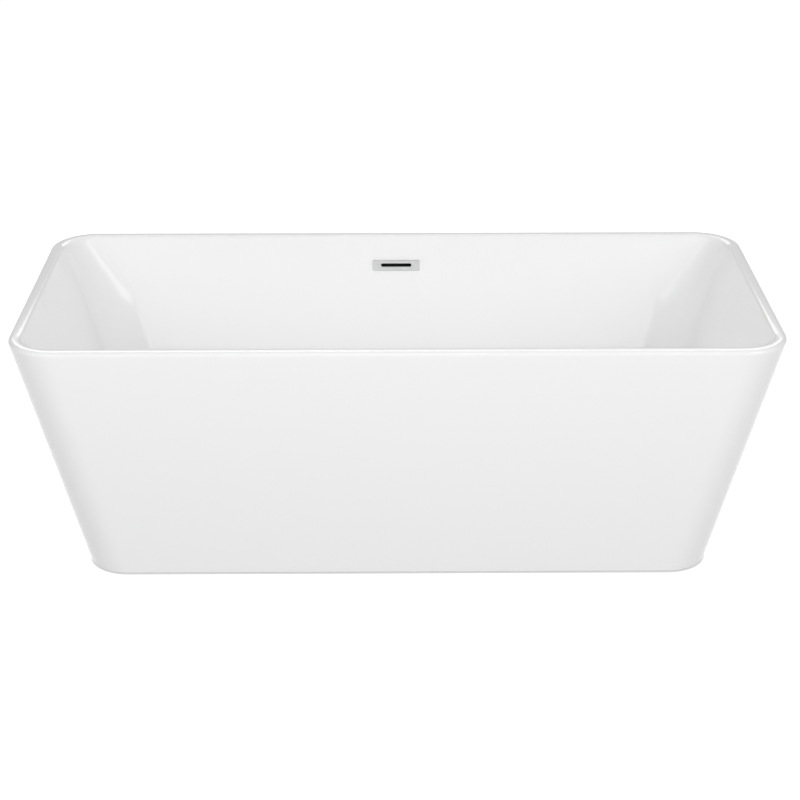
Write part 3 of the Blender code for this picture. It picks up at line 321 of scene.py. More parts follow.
def acrylic_material():
    """Sanitary acrylic: white through and through, polished, with the faint waviness of a drawn sheet."""
    material, tree, shader = new_material("sanitary acrylic")
    place = object_space(tree)
    cloud = noise(tree, place, 2.2, 2.0)
    speck = noise(tree, place, 260.0, 2.0)
    dress(tree, shader, two_tone(tree, cloud, ACRYLIC_COOL, ACRYLIC_WARM),
          spread(tree, speck, 0.07, 0.13), bump(tree, noise(tree, place, 9.0, 1.0), 0.10, 0.0006))
    shader.inputs["IOR"].default_value = 1.49
    shader.inputs["Coat Weight"].default_value = 0.25
    shader.inputs["Coat Roughness"].default_value = 0.04
    return material


def metal_material(name, dark, light, rough_low, rough_high, grain):
    """Plated metal with a fine grain."""
    material, tree, shader = new_material(name)
    place = stretched(tree, object_space(tree), (1.0, 1.0, 1.0))
    fine = noise(tree, place, grain, 4.0)
    coarse = noise(tree, place, grain / 12, 2.0)
    dress(tree, shader, two_tone(tree, coarse, dark, light), spread(tree, fine, rough_low, rough_high),
          bump(tree, fine, 0.06, 0.0001))
    shader.inputs["Metallic"].default_value = 1.0
    return material


def moulded_material(name, dark, light, rough_low, rough_high, grain, depth):
    """Moulded plastic or rubber with a fine eroded skin."""
    material, tree, shader = new_material(name)
    place = object_space(tree)
    fine = noise(tree, place, grain, 5.0, 0.65)
    coarse = noise(tree, place, grain / 15, 2.0)
    dress(tree, shader, two_tone(tree, coarse, dark, light), spread(tree, fine, rough_low, rough_high),
          bump(tree, fine, 0.35, depth))
    return material


def plywood_material():
    """Sealed birch board: grain along X on the faces and thin alternating plies on the edges."""
    material, tree, shader = new_material("sealed plywood")
    place = object_space(tree)
    grain = noise(tree, stretched(tree, place, (3.0, 60.0, 60.0)), 3.0, 6.0, 0.6)
    height = split(tree, place)["Z"]
    stripe = calc(tree, "SINE", calc(tree, "MULTIPLY", height, PLY_TURNS))
    ply = calc(tree, "GREATER_THAN", stripe, 0.0)
    normal = put(tree, "ShaderNodeNewGeometry").outputs["Normal"]
    facing = calc(tree, "ABSOLUTE", split(tree, normal)["Z"])
    face = two_tone(tree, grain, (0.50, 0.34, 0.19), (0.72, 0.55, 0.35))
    edge = two_tone(tree, ply, (0.36, 0.23, 0.12), (0.66, 0.49, 0.30))
    mix = put(tree, "ShaderNodeMix", {"Factor": facing}, data_type="RGBA")
    tree.links.new(edge, mix.inputs["A"])
    tree.links.new(face, mix.inputs["B"])
    dress(tree, shader, mix.outputs["Result"], spread(tree, grain, 0.45, 0.65),
          bump(tree, grain, 0.3, 0.0004))
    return material


METALS = {      # slot: name, two tones, roughness from and to, grain
    "chrome": ("polished chrome", (0.92, 0.93, 0.94), (0.96, 0.965, 0.97), 0.07, 0.15, 220.0),
    "zinc_steel": ("bright zinc plate", (0.50, 0.52, 0.55), (0.72, 0.73, 0.74), 0.24, 0.42, 500.0),
}
MOULDED = {     # slot: name, two tones, roughness from and to, grain, depth of the skin
    "rubber_black": ("black rubber", (0.018, 0.018, 0.019), (0.035, 0.034, 0.034), 0.62, 0.82, 700.0, 0.0002),
    "frame_paint": ("powder coat", (0.055, 0.057, 0.060), (0.080, 0.082, 0.086), 0.38, 0.55, 900.0, 0.0002),
    "pipe_plastic": ("white pipe plastic", (0.70, 0.70, 0.68), (0.80, 0.80, 0.78),
                     0.30, 0.45, 400.0, 0.00008),
    "duct_plastic": ("black duct plastic", (0.010, 0.010, 0.011), (0.020, 0.020, 0.021),
                     0.38, 0.55, 500.0, 0.0001),
    "hose_plastic": ("grey hose plastic", (0.42, 0.43, 0.44), (0.52, 0.53, 0.54), 0.35, 0.50, 500.0, 0.0001),
    "foot_nylon": ("black nylon", (0.020, 0.020, 0.021), (0.045, 0.045, 0.046), 0.45, 0.62, 600.0, 0.0002),
}


def make_finishes():
    finishes = {"acrylic_white": acrylic_material(), "plywood": plywood_material()}
    finishes.update((slot, metal_material(*look)) for slot, look in METALS.items())
    finishes.update((slot, moulded_material(*look)) for slot, look in MOULDED.items())
    return finishes


# ---------------------------------------------------------------- mesh kit

def add_object(name, data):
    made = bpy.data.objects.new(name, data)
    bpy.context.scene.collection.objects.link(made)
    return made


def mesh_piece(name, bm, finish, sharp=SHARP):
    mesh = bpy.data.meshes.new(name)
    bm.to_mesh(mesh)
    bm.free()
    mesh.shade_smooth()
    mesh.set_sharp_from_angle(angle=math.radians(sharp))
    piece = add_object(name, mesh)
    mesh.materials.append(finish)
    return piece


def skinned(name, rows, ends, finish, sharp=SHARP):
    """Rows of points bridged in turn. A row of one point is a tip; the ends are joined, capped or left."""
    bm = bmesh.new()
    loops = [[bm.verts.new(point) for point in row] for row in rows]
    count = max(len(row) for row in rows)
    pairs = list(zip(loops, loops[1:]))
    if ends == "joined":
        pairs.append((loops[-1], loops[0]))
    for lower, upper in pairs:
        for k in range(count):
            after = (k + 1) % count
            quad = (lower[k % len(lower)], lower[after % len(lower)],
                    upper[after % len(upper)], upper[k % len(upper)])
            bm.faces.new(tuple(dict.fromkeys(quad)))
    if ends == "capped":
        bm.faces.new(list(reversed(loops[0])))
        bm.faces.new(loops[-1])
    bmesh.ops.recalc_face_normals(bm, faces=bm.faces)
    return mesh_piece(name, bm, finish, sharp)


def loft(name, rows, finish, sharp=SHARP):
    """A closed ring-shaped body: the last row is joined to the first."""
    return skinned(name, rows, "joined", finish, sharp)


def capped(name, rows, finish):
    """A body without a bore, with a face over its first row and its last."""
    return skinned(name, rows, "capped", finish)


def at_height(outline, height):
    return [(x, y, height) for x, y in outline]


def heights(node):
    """Lowest and highest Z of a plain part."""
    low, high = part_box(node)
    return low.z, high.z


def circle_outline(radius, count):
    angles = [math.tau * k / count for k in range(count)]
    return [(radius * math.cos(angle), radius * math.sin(angle)) for angle in angles]


def rounded_outline(half_x, half_z, radius, steps=5):
    """Rectangle with rounded corners, anticlockwise, with the same number of points for any size."""
    outline = []
    for corner, (sx, sz) in enumerate(((1, 1), (-1, 1), (-1, -1), (1, -1))):
        for k in range(steps + 1):
            angle = math.pi / 2 * (corner + k / steps)
            outline.append((sx * (half_x - radius) + radius * math.cos(angle),
                            sz * (half_z - radius) + radius * math.sin(angle)))
    return outline


def hexagon_outline(across_flats, count, widest=math.inf):
    """A hexagon with count points round it, cut off where it is wider than a circle."""
    points = []
    for k in range(count):
        angle = math.tau * k / count
        from_flat = (angle + math.pi / 6) % (math.pi / 3) - math.pi / 6
        radius = min(widest, across_flats / 2 / math.cos(math.pi / 6 - abs(from_flat)))
        points.append((radius * math.cos(angle), radius * math.sin(angle)))
    return points


def quarter_turn(steps, first=0):
    """Angles of a quarter turn in even steps, from step first."""
    return [math.pi / 2 * step / steps for step in range(first, steps + 1)]


def on_curve(start, pull, end, share):
    """Point at a share of the quadratic curve from start to end."""
    return start * (1 - share) ** 2 + pull * 2 * share * (1 - share) + end * share ** 2


def soften(chain, radius, steps=4):
    """Round the corners of a chain of (radius, height): closed if it starts off the axis."""
    closed = chain[0][0] > 0
    points = [Vector(point) for point in chain]
    result = []
    for k, point in enumerate(points):
        if not closed and k in (0, len(points) - 1):
            result.append(point)
            continue
        before, after = points[k - 1], points[(k + 1) % len(points)]
        cut = min(radius, (before - point).length * 0.45, (after - point).length * 0.45)
        start = point + (before - point).normalized() * cut
        end = point + (after - point).normalized() * cut
        for step in range(steps + 1):
            result.append(on_curve(start, point, end, step / steps))
    return result


def turned(name, profile, finish, place=(0.0, 0.0), count=FINE_TURN):
    """Turned about Z from a chain of (radius, height): a closed ring, or from axis to axis for a solid."""
    rows = []
    for radius, height in profile:
        ring = circle_outline(radius, count) if radius > ON_AXIS else [(0.0, 0.0)]
        rows.append([(x + place[0], y + place[1], height) for x, y in ring])
    return skinned(name, rows, "joined" if profile[0][0] > ON_AXIS else "left", finish)


def ring_chain(inner, outer, low, high):
    return [(inner, low), (outer, low), (outer, high), (inner, high)]


def rod_chain(radius, low, high):
    return [(0.0, low), (radius, low), (radius, high), (0.0, high)]


def box_piece(name, low, high, finish):
    rows = [[(low[0], low[1], z), (high[0], low[1], z), (high[0], high[1], z), (low[0], high[1], z)]
            for z in (low[2], high[2])]
    return capped(name, rows, finish)


def crossed_bars(arm, half, low, high):
    """Two crossed bars that cut a screw's recess."""
    return [box_piece(f"recess {k}", (-a, -b, low), (a, b, high), None)
            for k, (a, b) in enumerate(((arm, half), (half, arm)))]


def settled(piece, sharp=SHARP):
    """Apply the piece's modifiers, leaving a plain mesh of its own."""
    graph = bpy.context.evaluated_depsgraph_get()
    mesh = bpy.data.meshes.new_from_object(piece.evaluated_get(graph), depsgraph=graph)
    piece.modifiers.clear()
    piece.data = mesh
    mesh.shade_smooth()
    mesh.set_sharp_from_angle(angle=math.radians(sharp))
    return piece


def combine(piece, tools, operation, sharp=SHARP):
    """Join tools to a piece, or cut them out of it, and remove the tools."""
    for tool in tools:
        modifier = piece.modifiers.new(tool.name, "BOOLEAN")
        modifier.operation = operation
        modifier.solver = "EXACT"
        modifier.object = tool
    settled(piece, sharp)
    for tool in tools:
        bpy.data.objects.remove(tool)
    return piece


def with_shells(piece, *others):
    """Add other closed shells to a piece's mesh and remove them."""
    bm = bmesh.new()
    for part in (piece, *others):
        bm.from_mesh(part.data)
    bm.to_mesh(piece.data)
    bm.free()
    for other in others:
        bpy.data.objects.remove(other)
    return piece


def moved(piece, matrix):
    piece.data.transform(matrix)
    return piece


def refined(node, finish):
    """A copy of a plain part with its flat faces merged and its edges broken."""
    bm = bmesh.new()
    bm.from_mesh(frame["nodes"][node].data)
    bmesh.ops.remove_doubles(bm, verts=bm.verts, dist=1e-6)
    bmesh.ops.dissolve_limit(bm, angle_limit=math.radians(1.0), verts=bm.verts, edges=bm.edges)
    piece = mesh_piece(f"{node}_finished", bm, finish)
    bevel = piece.modifiers.new("broken edges", "BEVEL")
    bevel.width = BROKEN_EDGE
    bevel.segments = 2
    bevel.limit_method = "ANGLE"
    bevel.angle_limit = math.radians(40.0)
    return settled(piece)


# ---------------------------------------------------------------- geometry node kit

def new_tree(name, inputs):
    """A geometry node tree with named inputs (name, socket type), and its input sockets by name."""
    tree = bpy.data.node_groups.new(name, "GeometryNodeTree")
    for label, kind in inputs:
        tree.interface.new_socket(label, in_out="INPUT", socket_type=f"NodeSocket{kind}")
    tree.interface.new_socket("Geometry", in_out="OUTPUT", socket_type="NodeSocketGeometry")
    return tree, put(tree, "NodeGroupInput").outputs


def close_tree(tree, geometry, finish):
    """End a tree in Realize Instances and Set Material."""
    real = geo(tree, "RealizeInstances", {"Geometry": geometry})
    dressed = geo(tree, "SetMaterial", {"Geometry": real, "Material": finish})
    put(tree, "NodeGroupOutput", {"Geometry": dressed})
    return tree


def geo(tree, kind, links=None, **settings):
    """Add a geometry node and give its first output."""
    return put(tree, f"GeometryNode{kind}", links, **settings).outputs[0]


def grown(name, tree, settings, start=None, sharp=SHARP):
    """Run a tree on a start mesh and keep the result as a plain closed mesh."""
    holder = add_object(name, start or bpy.data.meshes.new(name))
    modifier = holder.modifiers.new(name, "NODES")
    modifier.node_group = tree
    for item in tree.interface.items_tree:
        if item.item_type == "SOCKET" and item.in_out == "INPUT" and item.name in settings:
            modifier[item.identifier] = settings[item.name]
    graph = bpy.context.evaluated_depsgraph_get()
    mesh = bpy.data.meshes.new_from_object(holder.evaluated_get(graph), depsgraph=graph)
    bpy.data.objects.remove(holder)
    bm = bmesh.new()
    bm.from_mesh(mesh)
    bmesh.ops.recalc_face_normals(bm, faces=bm.faces)
    return mesh_piece(name, bm, settings["Finish"], sharp)


def polyline_mesh(name, points, closed):
    """Points joined by edges, as the start of a tree."""
    mesh = bpy.data.meshes.new(name)
    edges = [(k, k + 1) for k in range(len(points) - 1)]
    if closed:
        edges.append((len(points) - 1, 0))
    mesh.from_pydata([tuple(point) for point in points], edges, [])
    return mesh


def skirt_tree():
    """Sweep a wall section round a rectangle with rounded corners that narrows towards the floor.

    The start mesh is the section: X is how far inside the outer face a point lies, Z is its height.
    """
    tree, given = new_tree("tapering skirt", (
        ("Section", "Geometry"), ("Half Length", "Float"), ("Half Width", "Float"), ("Corner", "Float"),
        ("Top", "Float"), ("End Slope", "Float"), ("Side Slope", "Float"), ("Corner Slope", "Float"),
        ("Section Points", "Int"), ("Corner Steps", "Int"), ("Finish", "Material")))
    plan = geo(tree, "CurvePrimitiveQuadrilateral",
               {"Width": calc(tree, "MULTIPLY", given["Half Length"], 2.0),
                "Height": calc(tree, "MULTIPLY", given["Half Width"], 2.0)})
    outline = geo(tree, "FilletCurve",
                  {"Curve": plan, "Count": given["Corner Steps"], "Radius": given["Corner"]},
                  mode="POLY")
    around = put(tree, "GeometryNodeAttributeDomainSize", {"Geometry": outline}, component="CURVE")
    around = around.outputs["Point Count"]
    grid = geo(tree, "MeshGrid",
               {"Size X": around, "Size Y": given["Section Points"],
                "Vertices X": calc(tree, "ADD", around, 1.0),
                "Vertices Y": calc(tree, "ADD", given["Section Points"], 1.0)})
    spot = split(tree, geo(tree, "InputPosition"))
    column = calc(tree, "ROUND", calc(tree, "ADD", spot["X"], calc(tree, "DIVIDE", around, 2.0)))
    half_section = calc(tree, "DIVIDE", given["Section Points"], 2.0)
    row = calc(tree, "ROUND", calc(tree, "ADD", spot["Y"], half_section))
    column = calc(tree, "FLOORED_MODULO", column, around)
    row = calc(tree, "FLOORED_MODULO", row, given["Section Points"])
    place = geo(tree, "InputPosition")
    on_plan = put(tree, "GeometryNodeSampleIndex", data_type="FLOAT_VECTOR", domain="POINT")
    in_wall = put(tree, "GeometryNodeSampleIndex", data_type="FLOAT_VECTOR", domain="POINT")
    for sample, source, index in ((on_plan, outline, column), (in_wall, given["Section"], row)):
        tree.links.new(source, sample.inputs["Geometry"])
        tree.links.new(place, sample.inputs["Value"])
        tree.links.new(index, sample.inputs["Index"])
    wall = split(tree, in_wall.outputs["Value"])
    centre = bundle(tree, calc(tree, "SUBTRACT", given["Half Length"], given["Corner"]),
                    calc(tree, "SUBTRACT", given["Half Width"], given["Corner"]), 0.0)
    back = scaled(tree, centre, -1.0)
    on_outline = on_plan.outputs["Value"]
    anchor = vector_calc(tree, "MINIMUM", vector_calc(tree, "MAXIMUM", on_outline, back), centre)
    outward = vector_calc(tree, "NORMALIZE", vector_calc(tree, "SUBTRACT", on_outline, anchor))
    drop = calc(tree, "SUBTRACT", given["Top"], wall["Z"])
    corner_loss = calc(tree, "MULTIPLY", drop, given["Corner Slope"])
    corner = calc(tree, "SUBTRACT", given["Corner"], corner_loss)
    inward_x = calc(tree, "SUBTRACT", calc(tree, "MULTIPLY", drop, given["End Slope"]), corner_loss)
    inward_y = calc(tree, "SUBTRACT", calc(tree, "MULTIPLY", drop, given["Side Slope"]), corner_loss)
    spread_of = split(tree, centre)
    keep = bundle(tree,
                  calc(tree, "SUBTRACT", 1.0, calc(tree, "DIVIDE", inward_x, spread_of["X"])),
                  calc(tree, "SUBTRACT", 1.0, calc(tree, "DIVIDE", inward_y, spread_of["Y"])), 0.0)
    arm = scaled(tree, outward, calc(tree, "SUBTRACT", corner, wall["X"]))
    flat = vector_calc(tree, "ADD", vector_calc(tree, "MULTIPLY", anchor, keep), arm)
    final = vector_calc(tree, "ADD", flat, bundle(tree, 0.0, 0.0, wall["Z"]))
    shaped = geo(tree, "SetPosition", {"Geometry": grid, "Position": final})
    sewn = geo(tree, "MergeByDistance", {"Geometry": shaped, "Distance": 1e-6})
    return close_tree(tree, sewn, given["Finish"])


def thread_tree():
    """A rod along Z whose skin is pressed in along a helix."""
    tree, given = new_tree("threaded rod", (
        ("Foot", "Vector"), ("Length", "Float"), ("Radius", "Float"), ("Pitch", "Float"), ("Depth", "Float"),
        ("Sides", "Int"), ("Rows per Turn", "Int"), ("Finish", "Material")))
    head = vector_calc(tree, "ADD", given["Foot"], bundle(tree, 0.0, 0.0, given["Length"]))
    line = geo(tree, "CurvePrimitiveLine", {"Start": given["Foot"], "End": head})
    turns = calc(tree, "DIVIDE", given["Length"], given["Pitch"])
    rows = calc(tree, "MULTIPLY", turns, given["Rows per Turn"])
    spaced = geo(tree, "ResampleCurve", {"Curve": line, "Count": rows})
    circle = geo(tree, "CurvePrimitiveCircle",
                 {"Resolution": given["Sides"], "Radius": given["Radius"]})
    rod = geo(tree, "CurveToMesh",
              {"Curve": spaced, "Profile Curve": circle, "Fill Caps": True})
    place = geo(tree, "InputPosition")
    offset = vector_calc(tree, "SUBTRACT", place, given["Foot"])
    part = split(tree, offset)
    angle = calc(tree, "DIVIDE", calc(tree, "ARCTAN2", part["Y"], part["X"]), math.tau)
    climb = calc(tree, "SUBTRACT", calc(tree, "DIVIDE", part["Z"], given["Pitch"]), angle)
    wave = calc(tree, "PINGPONG", calc(tree, "MULTIPLY", climb, 2.0), 1.0)
    flank = put(tree, "ShaderNodeMapRange", {
        "Value": wave, "From Min": THREAD_FLANK[0], "From Max": THREAD_FLANK[1]}).outputs["Result"]
    depth = calc(tree, "MULTIPLY", flank, calc(tree, "MULTIPLY", given["Depth"], -1.0))
    outward = vector_calc(tree, "NORMALIZE", bundle(tree, part["X"], part["Y"], 0.0))
    press = scaled(tree, outward, depth)
    cut = geo(tree, "SetPosition", {"Geometry": rod, "Offset": press})
    return close_tree(tree, cut, given["Finish"])


def hose_tree():
    """A hose along a route, ribbed at an even pitch; the start mesh is the route."""
    tree, given = new_tree("ribbed hose", (
        ("Route", "Geometry"), ("Radius", "Float"), ("Rib", "Float"), ("Pitch", "Float"), ("Cuff", "Float"),
        ("Sides", "Int"), ("Finish", "Material")))
    curve = geo(tree, "MeshToCurve", {"Mesh": given["Route"]})
    row_length = calc(tree, "DIVIDE", given["Pitch"], HOSE_ROWS_PER_RIB)
    smooth = put(tree, "GeometryNodeResampleCurve", {"Curve": curve, "Length": row_length}, mode="LENGTH")
    along = put(tree, "GeometryNodeSplineParameter").outputs["Length"]
    total = geo(tree, "SplineLength")
    to_end = calc(tree, "MINIMUM", along, calc(tree, "SUBTRACT", total, along))
    ribbed = calc(tree, "GREATER_THAN", to_end, given["Cuff"])
    turn = calc(tree, "MULTIPLY", calc(tree, "DIVIDE", along, given["Pitch"]), math.tau)
    wave = calc(tree, "MULTIPLY", calc(tree, "SUBTRACT", calc(tree, "COSINE", turn), 1.0), 0.5)
    radius = calc(tree, "ADD", given["Radius"],
                  calc(tree, "MULTIPLY", calc(tree, "MULTIPLY", wave, ribbed), given["Rib"]))
    circle = put(tree, "GeometryNodeCurvePrimitiveCircle", {"Resolution": given["Sides"], "Radius": 1.0})
    sized = put(tree, "GeometryNodeSetCurveRadius", {"Curve": smooth.outputs["Curve"], "Radius": radius})
    sweep = put(tree, "GeometryNodeCurveToMesh", {
        "Curve": sized.outputs["Curve"], "Profile Curve": circle.outputs["Curve"],
        "Scale": geo(tree, "InputRadius"), "Fill Caps": True})
    return close_tree(tree, sweep.outputs["Mesh"], given["Finish"])


def rib_ring_tree():
    """Short bars set evenly round an axis, each facing outward."""
    tree, given = new_tree("ring of ribs", (
        ("Centre", "Vector"), ("Ring Radius", "Float"), ("Count", "Int"), ("Bar Size", "Vector"),
        ("Finish", "Material")))
    ring = geo(tree, "CurvePrimitiveCircle",
               {"Resolution": given["Count"], "Radius": given["Ring Radius"]})
    bar = geo(tree, "MeshCube", {"Size": given["Bar Size"]})
    place = split(tree, geo(tree, "InputPosition"))
    facing = bundle(tree, 0.0, 0.0, calc(tree, "ARCTAN2", place["Y"], place["X"]))
    bars = geo(tree, "InstanceOnPoints",
               {"Points": ring, "Instance": bar, "Rotation": facing})
    set_down = geo(tree, "Transform",
                   {"Geometry": bars, "Translation": given["Centre"]})
    return close_tree(tree, set_down, given["Finish"])


def stand_for(piece, body, slot, *nodes):
    """The piece rides on a body and is shown in place of the named nodes; the slot argument is not used."""
    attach(piece, body)
    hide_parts(*nodes)
    return piece


# ---------------------------------------------------------------- plan outlines of the tub

def corner_curve(half_x, half_y, reach_x, reach_y, crease):
    """Corner from the end to the long side: an arc tangent to the end, eased into the side by a small one."""
    large = (reach_x ** 2 + reach_y ** 2) / (2 * reach_x)
    centre = (half_x - large, half_y - reach_y)
    ease_offset = math.sqrt(max(0.0, (large - crease) ** 2 - (reach_y - crease) ** 2))
    ease = (centre[0] + ease_offset, half_y - crease)
    turn = math.atan2(ease[1] - centre[1], ease_offset)
    arc_length = large * turn + crease * (math.pi / 2 - turn)
    knee = (large * turn / arc_length + turn / (math.pi / 2)) / 2
    points = []
    for k in range(CORNER_STEPS + 1):
        share = k / CORNER_STEPS
        if share <= knee:
            angle = turn * share / knee
            points.append((centre[0] + large * math.cos(angle), centre[1] + large * math.sin(angle)))
        else:
            angle = turn + (math.pi / 2 - turn) * (share - knee) / (1 - knee)
            points.append((ease[0] + crease * math.cos(angle), ease[1] + crease * math.sin(angle)))
    return points


def tub_outline(half_x, half_y, reach_x, reach_y, crease=CREASE_ROUND):
    """Closed plan outline, anticlockwise from the middle of the +X end, mirrored into all four quarters."""
    corner = corner_curve(half_x, half_y, reach_x, reach_y, crease)
    end_run = [(half_x, corner[0][1] * k / END_STEPS) for k in range(END_STEPS)]
    side_run = [(corner[-1][0] * (1 - k / SIDE_STEPS), half_y) for k in range(1, SIDE_STEPS + 1)]
    quarter = end_run + corner + side_run
    outline = quarter[:-1]
    outline += [(-x, y) for x, y in reversed(quarter)][:-1]
    outline += [(-x, -y) for x, y in quarter][:-1]
    outline += [(x, -y) for x, y in reversed(quarter)][:-1]
    return outline


def soft_excess(depth):
    """How far below the start of the crease a depth is, easing in over CREASE_SOFTNESS."""
    past = depth - CREASE_DEPTH
    return (past + math.sqrt(past ** 2 + CREASE_SOFTNESS ** 2)) / 2


def basin_corner(depth):
    """Reach of the basin's corner along X and Y at a depth below the rim."""
    below = soft_excess(depth) - soft_excess(0.0)
    radius = CORNER_RIM - RIM_WIDTH + CORNER_GROWTH * (depth - below)
    reach_x = CORNER_REACH_X + (radius - CORNER_REACH_X) * math.exp(-below / CORNER_FADE_X)
    reach_y = CORNER_REACH_Y - (CORNER_REACH_Y - radius) * math.exp(-below / CORNER_FADE_Y)
    return reach_x, reach_y


def basin_half(depth, skin=0.0):
    """Half length and half width of the basin's wall, skin outside its inner face."""
    half_x = TUB_HALF_X - RIM_WIDTH - depth * math.tan(BACKREST_SLOPE) + skin / math.cos(BACKREST_SLOPE)
    half_y = TUB_HALF_Y - RIM_WIDTH - depth * math.tan(SIDE_DRAFT) + skin / math.cos(SIDE_DRAFT)
    return half_x, half_y


def basin_section(depth, skin=0.0, grow=0.0):
    half_x, half_y = basin_half(depth, skin)
    reach_x, reach_y = basin_corner(depth)
    reach_y = min(reach_y, half_y - FLOOR_CREASE_ROUND)
    spread_out = skin + grow
    row = tub_outline(half_x + grow, half_y + grow, reach_x + spread_out, reach_y + spread_out)
    return at_height(row, HEIGHT - depth)


def basin_rows(skin):
    """Rows from the flat floor's edge up the blend and the wall; a skin gives the shell's outer face."""
    bottom = BASIN_DEPTH + skin
    half_x, half_y = basin_half(bottom, skin)
    flat = tub_outline(half_x - FLOOR_BLEND, half_y - FLOOR_BLEND, FLOOR_REACH_X, FLOOR_REACH_Y,
                       FLOOR_CREASE_ROUND)
    edge = [Vector(point) for point in at_height(flat, HEIGHT - bottom)]
    foot = [Vector(point) for point in basin_section(bottom, skin)]
    wall = [Vector(point) for point in basin_section(bottom - FLOOR_BLEND, skin)]
    rows = []
    for step in range(BLEND_ROWS):
        rows.append([on_curve(*points, step / BLEND_ROWS) for points in zip(edge, foot, wall)])
    for step in range(WALL_ROWS + 1):
        share = step / WALL_ROWS
        depth = (bottom - FLOOR_BLEND) * (1 - share) + RIM_INNER_ROUND * share
        rows.append(basin_section(depth, skin))
    return rows


def apron_section(height, inset=0.0):
    """Outline of the outer faces at a height, or inside them by inset."""
    drop = HEIGHT - RIM_OUTER_ROUND - height
    half_x = TUB_HALF_X - drop * math.tan(END_TAPER) - inset / math.cos(END_TAPER)
    half_y = TUB_HALF_Y - drop * math.tan(SIDE_TAPER) - inset / math.cos(SIDE_TAPER)
    corner = CORNER_RIM + (CORNER_BASE - CORNER_RIM) * drop / HEIGHT - inset
    return at_height(tub_outline(half_x, half_y, corner, corner), height)


# ---------------------------------------------------------------- overflow, in its own frame

def overflow_frame():
    """Frame on the back wall at the overflow: X along the tub, +Y into the wall, +Z up along it."""
    wall_y = basin_half(OVERFLOW_DROP)[1]
    return Matrix.Translation((0.0, wall_y, HEIGHT - OVERFLOW_DROP)) @ Matrix.Rotation(-SIDE_DRAFT, 4, "X")


def at_depth(outline, y, rise=0.0):
    return [(x, y, z + rise) for x, z in outline]


def slot_bar(name, half_x, half_z, y_low, y_high):
    """A bar through the wall with the slot's rounded ends."""
    outline = rounded_outline(half_x, half_z, half_z, SLOT_STEPS)
    rows = [at_depth(outline, y, SLOT_RAISE) for y in (y_low, y_high)]
    return moved(capped(name, rows, None), overflow_frame())


def through_wall(x):
    """Turns Z into the wall's depth, at a place along the overflow."""
    return overflow_frame() @ Matrix.Translation((x, 0.0, 0.0)) @ Matrix.Rotation(-math.pi / 2, 4, "X")


def screw_ways(name, y_low, y_high):
    """Rods that cut the holes for both screws."""
    ways = []
    for x in (-SCREW_X, SCREW_X):
        rod = turned(f"{name} {x}", rod_chain(SCREW_HOLE, y_low, y_high), None, count=SCREW_TURN)
        ways.append(moved(rod, through_wall(x)))
    return ways


def make_overflow_cover(finish):
    """Flat plate with broken edges, a slot through its face and a shallow pocket behind."""
    half_x, half_z, depth = COVER_SIZE[0] / 2, COVER_SIZE[1] / 2, COVER_SIZE[2]
    face = -depth - GAP
    rows = [at_depth(rounded_outline(half_x, half_z, COVER_CORNER, SLOT_STEPS), -GAP)]
    for turn in quarter_turn(EDGE_STEPS):
        inset = COVER_EDGE * (1 - math.cos(turn))
        edge = rounded_outline(half_x - inset, half_z - inset, COVER_CORNER - inset, SLOT_STEPS)
        rows.append(at_depth(edge, face + COVER_EDGE * (1 - math.sin(turn))))
    slot_x, slot_z = SLOT_SIZE[0] / 2, SLOT_SIZE[1] / 2
    for turn in quarter_turn(EDGE_STEPS):
        margin = SLOT_EDGE * (1 - math.sin(turn))
        rows.append(at_depth(rounded_outline(slot_x + margin, slot_z + margin, slot_z + margin, SLOT_STEPS),
                             face + SLOT_EDGE * (1 - math.cos(turn)), SLOT_RAISE))
    rows.append(at_depth(rounded_outline(slot_x, slot_z, slot_z, SLOT_STEPS), face + COVER_FACE, SLOT_RAISE))
    pocket = rounded_outline(half_x - COVER_LAND, half_z - COVER_LAND, COVER_CORNER, SLOT_STEPS)
    rows += [at_depth(pocket, face + COVER_FACE), at_depth(pocket, -GAP)]
    return moved(loft("overflow_plate", rows, finish), overflow_frame())


def make_overflow_insert(finish):
    """Flange behind the cover, with a sleeve of the slot's shape through the wall."""
    half_x, half_z = COVER_SIZE[0] / 2 - COVER_LAND - 2 * GAP, COVER_SIZE[1] / 2 - COVER_LAND - 2 * GAP
    flange = rounded_outline(half_x, half_z, COVER_CORNER, SLOT_STEPS)
    sleeve_x, sleeve_z = SLEEVE_HALF
    sleeve = rounded_outline(sleeve_x, sleeve_z, sleeve_z, SLOT_STEPS)
    way = rounded_outline(sleeve_x - SLEEVE_WALL, sleeve_z - SLEEVE_WALL, sleeve_z - SLEEVE_WALL, SLOT_STEPS)
    front = -INSERT_FLANGE - GAP
    rows = [at_depth(flange, front), at_depth(way, front, SLOT_RAISE), at_depth(way, SLEEVE_END, SLOT_RAISE),
            at_depth(sleeve, SLEEVE_END, SLOT_RAISE), at_depth(sleeve, -GAP, SLOT_RAISE),
            at_depth(flange, -GAP)]
    insert = moved(loft("overflow_liner", rows, finish), overflow_frame())
    return combine(insert, screw_ways("liner", 2 * front, INSERT_FLANGE), "DIFFERENCE")


def make_wall_screw(name, x, finish):
    """Flat-headed screw with a crossed recess, driven through the liner into the duct."""
    shank, head, head_height, end = WALL_SCREW
    head_low = -INSERT_FLANGE - 2 * GAP
    chain = soften([(0.0, head_low - head_height), (head, head_low - head_height), (head, head_low),
                    (shank, head_low), (shank, end), (0.0, end)], WALL_SCREW_ROUND)
    screw = turned(name, chain, finish, count=SCREW_TURN)
    recess_low, recess_top = head_low - 2 * head_height, head_low - head_height / 2
    combine(screw, crossed_bars(head / 2, head / 8, recess_low, recess_top), "DIFFERENCE")
    return moved(screw, through_wall(x))


